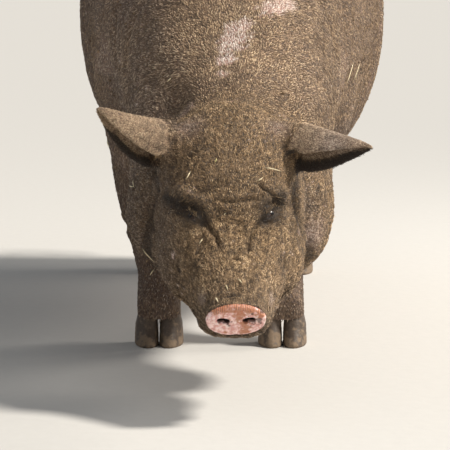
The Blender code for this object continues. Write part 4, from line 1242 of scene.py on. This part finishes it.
def build_crumbs(skin, ears):
    """Crumbs of dried mud that cling to the coat, thickest on the nose, the neck and the right flank."""
    surface = surface_of(skin)
    points, normals, _, _ = surface
    tree = tree_of(skin)
    density = 0.03 + 0.10 * smooth_step(layered_noise(points, 0.06, 257), 0.45, 0.7)
    for place, reach, share in CRUMB_PLACES:
        hit = seen(tree, place)[0]
        density = np.maximum(density, share * gap_to(points, (hit,), reach))
    eyes = eye_gap(points)
    density = density * bare(points) * (1 - 0.9 * ears) * (points[:, 1] < 0.88) * smooth_step(eyes, 0.026,
                                                                                              0.034)
    places = scatter(surface, density, CRUMBS, 261)
    rng = np.random.default_rng(263)
    roots, ups = read_at(points, places), unit(read_at(normals, places))
    size = (rng.gamma(2.4, 0.00030, CRUMBS) + 0.0004) * np.where(head_place(roots)[:, 1] < 0.3, 0.9, 1.25)
    lump = bmesh.new()
    bmesh.ops.create_icosphere(lump, subdivisions=1, radius=1.0)
    corners = np.array([vert.co for vert in lump.verts])
    faces = [tuple(vert.index for vert in face.verts) for face in lump.faces]
    lump.free()
    local = corners[None] * rng.uniform(0.55, 1.35, (CRUMBS, len(corners), 1)) * rng.uniform(0.6, 1.3,
        (CRUMBS, 1, 3))
    local = local * size[:, None, None]
    ways = unit(np.cross(ups, rng.normal(0, 1, (CRUMBS, 3))))
    others = np.cross(ups, ways)
    rings = roots[:, None] + ups[:, None] * 0.0006 + local[:, :, :1] * ways[:, None] + local[:, :,
        1:2] * others[:, None]
    rings = rings + local[:, :, 2:] * ups[:, None] * 0.7
    patch = unwrap(roots, "head")[:, None, :] + corners[None, :, :2] * 0.0015 + corners[None, :,
                                                                                        2:] * 0.0004
    return tuft_mesh("mud_crumbs", rings, faces, patch, np.zeros((CRUMBS, 3)),
                     rng.uniform(0.0, 0.9, CRUMBS))


def build_straws(tree):
    """A few bits of straw stuck in the mud of the coat."""
    rng = np.random.default_rng(251)
    roots, ups, ways, long = [], [], [], []
    for start, end in STRAWS:
        hit, normal = seen(tree, start)
        other = seen(tree, end)[0]
        roots.append(hit)
        ups.append(normal)
        ways.append(other - hit)
        long.append((other - hit).length)
    roots, ups, ways = (np.array(row) for row in (roots, ups, ways))
    roots = roots + ups * 0.0022
    count = len(roots)
    ways = flattened(ways, ups)
    straws = tufts("straws", roots, ups, ways, np.array(long), np.full(count, 0.0022),
                   np.full(count, 0.03),
                   unwrap(roots, "head"), np.zeros((count, 3)), rng.random(count),
                   rng.uniform(-0.2, 0.2, count))
    return straws


def build_disc():
    """The snout's disc: a soft oval with fine ridges over its top, deep nostrils and a tapered back."""
    disc = fused("snout", ("snout_disc",), DISC_VOXEL, 3)
    points, _ = arrays_of(disc)
    place = head_place(points)
    holes = np.zeros(len(points))
    for _, mirror in SIDES:
        out = (place[:, 0] - NOSTRIL_ACROSS * mirror) / NOSTRIL_HALF[0]
        gap = np.hypot(out, (place[:, 2] - NOSTRIL_UP) / NOSTRIL_HALF[1])
        holes = np.maximum(holes, 1 - smooth_step(gap, 1.0, 1.4))
    relax(disc, 1 - holes, 40)
    points, normals = arrays_of(disc)
    place = head_place(points)
    turn = np.array(HEAD_TURN)[:3, :3]
    front = normals @ turn
    across, up = place[:, 0] / 0.0435, np.maximum(place[:, 2] + 0.001, 0) / 0.0272
    box = (np.abs(across) ** 2.35 + up**2.35) ** (1 / 2.35)
    oval = (np.abs(across) ** 1.9 + up**1.9) ** (1 / 1.9)
    pinch = np.where(box > 0, box / np.maximum(oval, 1e-6), 1)
    place[:, 0] *= pinch
    place[:, 2] = np.where(place[:, 2] > -0.001, (place[:, 2] + 0.001) * pinch - 0.001, place[:, 2])
    # How deep in the nostrils each point lies, which the snout's finish paints dark as shade
    deep = smooth_step(place[:, 1], 0.0016, 0.0050) * holes
    place[:, 1] += 0.006 * smooth_step(place[:, 1], 0.004, 0.011) * holes
    wall = smooth_step(front[:, 2], 0.15, 0.6)
    ridges = np.sin(place[:, 0] / 0.0026 * math.tau + 5 * layered_noise(points, 0.008, 77))
    fine = layered_noise(points, 0.0030, 73) - 0.5
    place += front * (0.00032 * ridges * wall + 0.0010 * fine - SWELL)[:, None] * (1 - holes)[:, None]
    place[:, 1] += 0.005 * smooth_step(front[:, 1], 0.5, 0.9) * (1 - holes)
    for _, mirror in SIDES:
        turned_x = (place[:, 0] - (NOSTRIL_ACROSS + 0.001) * mirror) / BOWL_HALF[0]
        turned_z = (place[:, 2] - NOSTRIL_UP - 0.10 * np.abs(place[:, 0])) / BOWL_HALF[1]
        bowl = np.clip(1 - turned_x**2 - turned_z**2, 0, 1)
        place[:, 1] += BOWL_DEPTH * bowl * (place[:, 1] < 0.008)
        deep = np.maximum(deep, smooth_step(bowl, 0.25, 0.80))
    behind = smooth_step(place[:, 1], DISC_RIM - 0.002, DISC_RIM + 0.003) * (1 - holes)
    place[:, 0] *= 1 - 0.07 * behind
    place[:, 2] *= 1 - 0.09 * behind
    points = place @ turn.T + np.array(SNOUT)
    set_points(disc, points)
    tree = tree_of(disc)
    blotch = layered_noise(points, 0.0075, 89)
    stains = np.zeros((2, len(points)))
    for row, spots in enumerate((MUD_STAINS, GRIME_STAINS)):
        for spot, reach in spots:
            gap = np.linalg.norm(points - on_skin(tree, (spot, spot))[0], axis=1) / reach
            stains[row] = np.maximum(stains[row], np.exp(-(gap**2)))
    speckle = layered_noise(points, 0.0026, 91, 2)
    mud = smooth_step(stains[0] + 0.7 * (blotch - 0.5) + 0.9 * (speckle - 0.5), 0.34, 0.74)
    grime = smooth_step(stains[1] + 1.3 * (layered_noise(points, 0.003, 97) - 0.5), 0.38, 0.70)
    put_marks(disc, np.stack([mud, np.maximum(grime, 0), deep], axis=1), ridges * wall)
    return disc


def build_eyes():
    """A moist globe under each pair of lids, with the turn from its middle kept for the iris."""
    made = []
    for (side, _), eye in zip(SIDES, eye_places()):
        mesh = bmesh.new()
        bmesh.ops.create_uvsphere(mesh, u_segments=48, v_segments=32, radius=EYE_RADIUS)
        bmesh.ops.rotate(mesh, verts=mesh.verts, matrix=Matrix.Rotation(-math.pi / 2, 3, "X"))
        turns = []
        for vert in mesh.verts:
            turn = vert.co.angle(Vector((0, 1, 0)))
            turns.append(turn)
            vert.co *= 1 + 0.05 * math.exp(-((turn / 0.55) ** 2))
        mesh.transform(eye)
        globe = new_object(f"eyeball_{side}", mesh)
        smooth_shade(globe)
        put_layer(globe, "turn", "FLOAT", "value", turns)
        made.append(globe)
    return made


def build_horn(name, nodes, voxel, top, sink):
    """Claws in one piece, with growth rings, and with tops that run up inside the skin."""
    horn = fused(name, nodes, voxel, 3)
    points, normals = arrays_of(horn)
    for node in nodes:
        low, high = (np.array(corner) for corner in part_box(node))
        mine = np.all((points > low - 0.002) & (points < high + 0.002), axis=1)
        share = smooth_step((points[:, 2] - low[2]) / (high[2] - low[2]), top, 0.99) * mine
        middle = (low + high) / 2
        pull = (middle - points) * np.array((0.16, 0.16, 0))
        if node.startswith("dewclaw"):
            tip = mine * (1 - smooth_step((points[:, 2] - low[2]) / (high[2] - low[2]), 0.0, 0.7))
            points = points + (middle - points) * np.array((0.24, 0.20, 0)) * tip[:, None]
        else:
            ahead = smooth_step(middle[1] - points[:, 1], 0.0, 0.036)
            points[:, 1] += mine * TOE_SLOPE * ahead * smooth_step(points[:, 2], -0.01, 0.046)
            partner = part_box(node.replace("outer", "inner") if "outer" in node
                             else node.replace("inner", "outer"))
            toward = np.sign((partner[0].x + partner[1].x) / 2 - middle[0])
            inner = smooth_step((points[:, 0] - middle[0]) * toward, 0.002, 0.014)
            points[:, 0] += mine * inner * toward * CLAW_REACH
            pull[:, 0] *= 1 - inner
        points = points + (pull + np.array((0, 0, sink))) * share[:, None]
    rings = np.sin(points[:, 2] / RING_STEP * math.tau + 3 * layered_noise(points, 0.02, 79))
    wall = 1 - np.abs(normals[:, 2])
    points = points + normals * (0.00018 * rings * wall + 0.0008
                                 * (layered_noise(points, 0.008, 83) - 0.5))[:, None]
    points[:, 2] = np.maximum(points[:, 2], 0.0002)
    set_points(horn, points)
    return horn


class Finish:
    """A procedural material, made a node at a time."""

    def __init__(self, name):
        self.material = bpy.data.materials.new(name)
        self.material.use_nodes = True
        self.tree = self.material.node_tree
        self.surface = self.tree.nodes["Principled BSDF"]
        self.place = self.tree.nodes.new("ShaderNodeTexCoord").outputs["Object"]

    def put(self, socket, value):
        if isinstance(value, bpy.types.NodeSocket):
            self.tree.links.new(value, socket)
        elif isinstance(value, tuple) and len(value) == 3 and len(socket.default_value) == 4:
            socket.default_value = (*value, 1.0)
        else:
            socket.default_value = value

    def node(self, kind, values=(), **settings):
        made = self.tree.nodes.new(kind)
        for name, value in settings.items():
            setattr(made, name, value)
        for key, value in dict(values).items():
            self.put(made.inputs[key], value)
        return made

    def noise(self, size, detail=3.0, place=None, roughness=0.55):
        values = {"Vector": place or self.place, "Scale": 1 / size, "Detail": detail,
                  "Roughness": roughness}
        return self.node("ShaderNodeTexNoise", values).outputs["Fac"]

    def cells(self, size, feature="F1"):
        values = {"Vector": self.place, "Scale": 1 / size}
        return self.node("ShaderNodeTexVoronoi", values, feature=feature).outputs["Distance"]

    def attribute(self, name, output="Fac"):
        return self.node("ShaderNodeAttribute", attribute_name=name).outputs[output]

    def marks(self):
        return self.node("ShaderNodeSeparateXYZ", {0: self.attribute("marks", "Vector")}).outputs

    def math(self, operation, one, two=0.0):
        return self.node("ShaderNodeMath", {0: one, 1: two}, operation=operation).outputs[0]

    def step(self, value, low, high, bottom=0.0, top=1.0):
        values = {"Value": value, "From Min": low, "From Max": high, "To Min": bottom, "To Max": top}
        return self.node("ShaderNodeMapRange", values, interpolation_type="SMOOTHSTEP").outputs["Result"]

    def mix(self, share, one, two):
        values = {"Factor": share, 6: one, 7: two}
        return self.node("ShaderNodeMix", values, data_type="RGBA").outputs[2]

    def ramp(self, value, stops):
        made = self.node("ShaderNodeValToRGB", {"Fac": value})
        elements = made.color_ramp.elements
        while len(elements) < len(stops):
            elements.new(0.5)
        for element, (position, colour) in zip(elements, stops):
            element.position = position
            element.color = (*colour, 1.0)
        return made.outputs["Color"]

    def bump(self, height, depth, under=None):
        values = {"Height": height, "Distance": depth, "Strength": 1.0}
        if under is not None:
            values["Normal"] = under
        return self.node("ShaderNodeBump", values).outputs["Normal"]

    def finish(self, **values):
        for name, value in values.items():
            self.put(self.surface.inputs[name.replace("_", " ").title().replace("Ior", "IOR")], value)
        return self.material


PINK_SKIN = (0.60, 0.36, 0.30)
# Dark purplish skin; also the colour of the painted shade that the dark mark carries
PURPLE_SKIN_AND_SHADE = (0.070, 0.046, 0.038)
MUD = (0.265, 0.168, 0.092)
WET_MUD = (0.062, 0.038, 0.022)
DRY_MUD = (0.42, 0.285, 0.170)
SHADE = (0.016, 0.011, 0.008)


def hide_finish():
    hide = Finish("hide")
    pink, dark, shade = hide.marks()
    clumps = hide.step(hide.noise(0.005), 0.38, 0.62)
    colour = hide.mix(clumps, WET_MUD, MUD)
    colour = hide.mix(hide.step(hide.noise(0.05), 0.45, 0.75, 0.0, 0.45), colour, DRY_MUD)
    # Dark skin and mud by the dark mark, which also carries painted shade
    colour = hide.mix(hide.math("MULTIPLY", dark, 0.8), colour, PURPLE_SKIN_AND_SHADE)
    colour = hide.mix(hide.math("MULTIPLY", pink, 0.9), colour, PINK_SKIN)
    streaks = hide.noise(0.0016, 3, hide.attribute("grain", "Vector"))
    colour = hide.mix(hide.step(streaks, 0.30, 0.70, 0.45, 0.0), colour, (0.020, 0.013, 0.009))
    colour = hide.mix(hide.step(streaks, 0.52, 0.68, 0.0, 0.35), colour, (0.48, 0.36, 0.24))
    locks = hide.noise(0.0038, 3, hide.attribute("grain", "Vector"))
    colour = hide.mix(hide.step(locks, 0.30, 0.48, 0.45, 0.0), colour, (0.030, 0.019, 0.012))
    colour = hide.mix(hide.step(locks, 0.54, 0.70, 0.0, 0.40), colour, (0.46, 0.33, 0.21))
    colour = hide.mix(hide.math("MULTIPLY", shade, 0.9), colour, SHADE)
    hair = hide.bump(streaks, 0.0016)
    cracks = hide.bump(hide.step(hide.cells(0.007, "DISTANCE_TO_EDGE"), 0.0, 0.12), 0.0007, hair)
    lumps = hide.bump(hide.noise(0.009), 0.0030, cracks)
    return hide.finish(base_color=colour, roughness=hide.step(clumps, 0, 1, 0.66, 0.88), normal=lumps)


def coat_finish():
    coat = Finish("coat")
    pink, dark, shade = coat.marks()
    tone = coat.attribute("tone")
    warm = coat.ramp(tone, ((0.0, (0.016, 0.009, 0.005)), (0.34, (0.130, 0.078, 0.037)),
                            (0.66, (0.405, 0.260, 0.132)),
                            (1.0, (0.82, 0.61, 0.37))))
    cool = coat.ramp(tone, ((0.0, (0.014, 0.010, 0.009)), (0.5, (0.085, 0.060, 0.051)),
                            (1.0, (0.56, 0.47, 0.42))))
    # The dark mark turns the coat cooler and darker: dark skin and mud, and painted shade
    colour = coat.mix(coat.math("MULTIPLY", dark, 0.85), warm, cool)
    pale = coat.ramp(tone, ((0.0, (0.34, 0.19, 0.15)), (0.45, (0.84, 0.67, 0.58)),
                            (1.0, (0.96, 0.90, 0.85))))
    colour = coat.mix(coat.math("MULTIPLY", pink, 0.95), colour, pale)
    colour = coat.mix(coat.math("MULTIPLY", shade, 0.94), colour, SHADE)
    fine = coat.bump(coat.noise(0.0012, 2), 0.0002)
    return coat.finish(base_color=colour, roughness=coat.step(tone, 0, 1, 0.75, 0.50), normal=fine)


def mud_finish():
    mud = Finish("mud")
    tone = mud.attribute("tone")
    grain = mud.noise(0.002, 4)
    colour = mud.mix(tone, (0.11, 0.068, 0.038), (0.44, 0.31, 0.19))
    colour = mud.mix(mud.step(grain, 0.3, 0.7, 0.0, 0.3), colour, (0.20, 0.13, 0.08))
    return mud.finish(base_color=colour, roughness=mud.step(grain, 0, 1, 0.8, 0.95),
                      normal=mud.bump(grain, 0.0005))


def straw_finish():
    straw = Finish("straw")
    tone = straw.attribute("tone")
    streak = straw.noise(0.002, 3)
    colour = straw.mix(streak, (0.74, 0.58, 0.30), (0.92, 0.84, 0.64))
    colour = straw.mix(straw.step(tone, 0.75, 0.9, 0.0, 0.6), colour, (0.45, 0.45, 0.12))
    return straw.finish(base_color=colour, roughness=straw.step(streak, 0, 1, 0.45, 0.6),
                        normal=straw.bump(streak, 0.0002))


def snout_finish():
    snout = Finish("snout")
    mud, grime, deep = snout.marks()
    ridge = snout.attribute("tone")
    blotch = snout.noise(0.006, 4)
    colour = snout.mix(snout.step(blotch, 0.38, 0.62), (0.90, 0.66, 0.62), (0.64, 0.32, 0.28))
    orange = snout.mix(snout.step(ridge, -0.6, 0.5), (0.25, 0.085, 0.038), (0.56, 0.225, 0.105))
    colour = snout.mix(snout.math("MULTIPLY", mud, 0.9), colour, orange)
    specks = snout.step(snout.noise(0.0028, 3), 0.64, 0.72, 0.0, 0.6)
    colour = snout.mix(specks, colour, (0.18, 0.075, 0.045))
    colour = snout.mix(snout.math("MULTIPLY", grime, 0.80), colour, (0.085, 0.045, 0.034))
    # Painted shade deep in the nostrils
    colour = snout.mix(deep, colour, (0.022, 0.010, 0.008))
    pores = snout.bump(snout.noise(0.0012, 3), 0.0005)
    folds = snout.bump(snout.cells(0.0036), 0.0009, pores)
    return snout.finish(
        base_color=colour, roughness=snout.step(blotch, 0.3, 0.7, 0.30, 0.52), normal=folds,
        subsurface_weight=0.10,
        subsurface_scale=0.003,
    )


def eye_finish():
    eye = Finish("eye")
    turn = eye.attribute("turn")
    streak = eye.noise(0.0016, 2)
    iris = eye.mix(streak, (0.040, 0.018, 0.008), (0.014, 0.007, 0.005))
    colour = eye.mix(eye.step(turn, 0.22, 0.27), (0.002, 0.002, 0.002), iris)
    colour = eye.mix(eye.step(turn, 0.60, 0.72), colour, (0.075, 0.048, 0.038))
    return eye.finish(
        base_color=colour, roughness=eye.step(streak, 0.2, 0.8, 0.22, 0.34), specular_ior_level=0.30,
        coat_weight=0.20, coat_roughness=0.08, normal=eye.bump(streak, 0.00006),
    )


def horn_finish():
    horn = Finish("horn")
    height = horn.node("ShaderNodeSeparateXYZ", {0: horn.place}).outputs["Z"]
    streak = horn.noise(0.004, 4)
    colour = horn.mix(streak, (0.038, 0.026, 0.019), (0.120, 0.085, 0.060))
    dust = horn.step(horn.math("ADD", horn.noise(0.012, 4), horn.step(height, 0.0, 0.05, 0.12, -0.08)),
                     0.46, 0.62)
    colour = horn.mix(horn.math("MULTIPLY", dust, 0.75), colour, (0.25, 0.18, 0.12))
    fine = horn.bump(streak, 0.0006)
    return horn.finish(base_color=colour, roughness=horn.step(dust, 0, 1, 0.55, 0.88), normal=fine)


def floor_finish():
    floor = Finish("floor")
    grain = floor.noise(0.02)
    colour = floor.mix(grain, (0.56, 0.55, 0.53), (0.60, 0.59, 0.57))
    return floor.finish(base_color=colour, roughness=0.85, normal=floor.bump(grain, 0.0004))


SKY_STRENGTH = 0.34
KEY_STRENGTH = 4.3
KEY_WAY = (-0.72, 0.10, -0.90)
KEY_SPREAD = math.radians(9)
# Lamps: place, what each is turned to, width, power and colour
LAMPS = {
    "rim": ((2.6, 0.9, 1.6), (0, -0.6, 0.4), 1.0, 45, (1.0, 0.93, 0.84)),
    "front": ((0.9, -3.4, 1.3), (0, -0.6, 0.3), 1.6, 16, (1.0, 0.97, 0.92)),
}


def light(name, place, target, size, power, colour):
    data = bpy.data.lights.new(name, "AREA")
    data.shape = "DISK"
    data.size = size
    data.energy = power
    data.color = colour
    lamp = bpy.data.objects.new(name, data)
    lamp.location = place
    lamp.rotation_euler = (Vector(target) - Vector(place)).to_track_quat("-Z", "Y").to_euler()
    bpy.context.scene.collection.objects.link(lamp)


def set_stage():
    """A pale floor, soft light from above and from the right, and the photo's camera."""
    mesh = bmesh.new()
    bmesh.ops.create_grid(mesh, x_segments=4, y_segments=4, size=160)
    floor = new_object("floor", mesh)
    floor.data.materials.append(floor_finish())
    world = bpy.data.worlds.new("studio")
    world.use_nodes = True
    background = world.node_tree.nodes["Background"]
    background.inputs["Color"].default_value = (0.94, 0.97, 1.0, 1)
    background.inputs["Strength"].default_value = SKY_STRENGTH
    bpy.context.scene.world = world
    bpy.context.scene.view_settings.view_transform = "Standard"
    sun = bpy.data.lights.new("key", "SUN")
    sun.energy = KEY_STRENGTH
    sun.angle = KEY_SPREAD
    sun.color = (1.0, 0.94, 0.85)
    lamp = bpy.data.objects.new("key", sun)
    lamp.rotation_euler = Vector(KEY_WAY).to_track_quat("-Z", "Y").to_euler()
    bpy.context.scene.collection.objects.link(lamp)
    for name, values in LAMPS.items():
        light(name, *values)
    data = bpy.data.cameras.new("photo_camera")
    data.sensor_width = SENSOR
    data.lens = FOCAL_PIXELS / PHOTO_SIDE * SENSOR
    camera = bpy.data.objects.new("photo_camera", data)
    camera.location = CAMERA
    camera.rotation_euler = (math.pi / 2 - CAMERA_PITCH, 0, 0)
    bpy.context.scene.collection.objects.link(camera)
    bpy.context.scene.camera = camera


def dress(obj, name, finish, *nodes):
    """Gives a piece a slot with its finish, parents it to the root body and hides the CAD nodes that it
    stands for. The name argument is not used.
    """
    obj.data.materials.append(finish)
    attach(obj, "root")
    if nodes:
        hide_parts(*nodes)


def build():
    skin = build_skin()
    points, _ = arrays_of(skin)
    ears = ear_share(points)
    relax(skin, 1.8 * gap_to(points, teat_places(), 0.024), 45)
    inset(skin, ears)
    open_snout(skin)
    set_eyes(skin)
    slope_pasterns(skin)
    raise_teats(skin)
    crease = sculpt(skin, ears)
    relax(skin, 1.6 * gap_to(arrays_of(skin)[0], teat_places(), TEAT_SPREAD), 14)
    smooth_shade(skin)
    tree = tree_of(skin)
    points, normals = arrays_of(skin)
    marks = marks_of(tree, points, normals, ears, crease)
    put_marks(skin, marks)
    put_layer(skin, "grain", "FLOAT_VECTOR", "vector", grain_of(points))
    dress(skin, "hide", hide_finish(), "head", *TRUNK, *LEGS, *EARS, *TAIL)
    finish = coat_finish()
    hairs = [build_lashes(tree), build_ear_fringe(tree), build_guard_hairs(skin, ears, marks),
             build_tail_brush(skin)]
    for piece in build_coat(skin, tree, ears, marks) + hairs:
        dress(piece, "hide", finish)
    dress(build_straws(tree), "hide", straw_finish())
    dress(build_crumbs(skin, ears), "hide", mud_finish())
    disc = build_disc()
    smooth_shade(disc)
    dress(disc, "snout", snout_finish(), "snout_disc")
    finish = eye_finish()
    for (side, _), globe in zip(SIDES, build_eyes()):
        dress(globe, "eye", finish, f"eye_{side}")
    finish = horn_finish()
    for kind, voxel, top, sink in (("claw", 0.0024, 0.86, 0.008), ("dewclaw", 0.0018, 0.90, 0.003)):
        nodes = [f"{kind}_{toe}" for toe in TOES]
        horn = build_horn(f"{kind}s", nodes, voxel, top, sink)
        smooth_shade(horn)
        dress(horn, "horn", finish, *nodes)
    set_stage()


build()
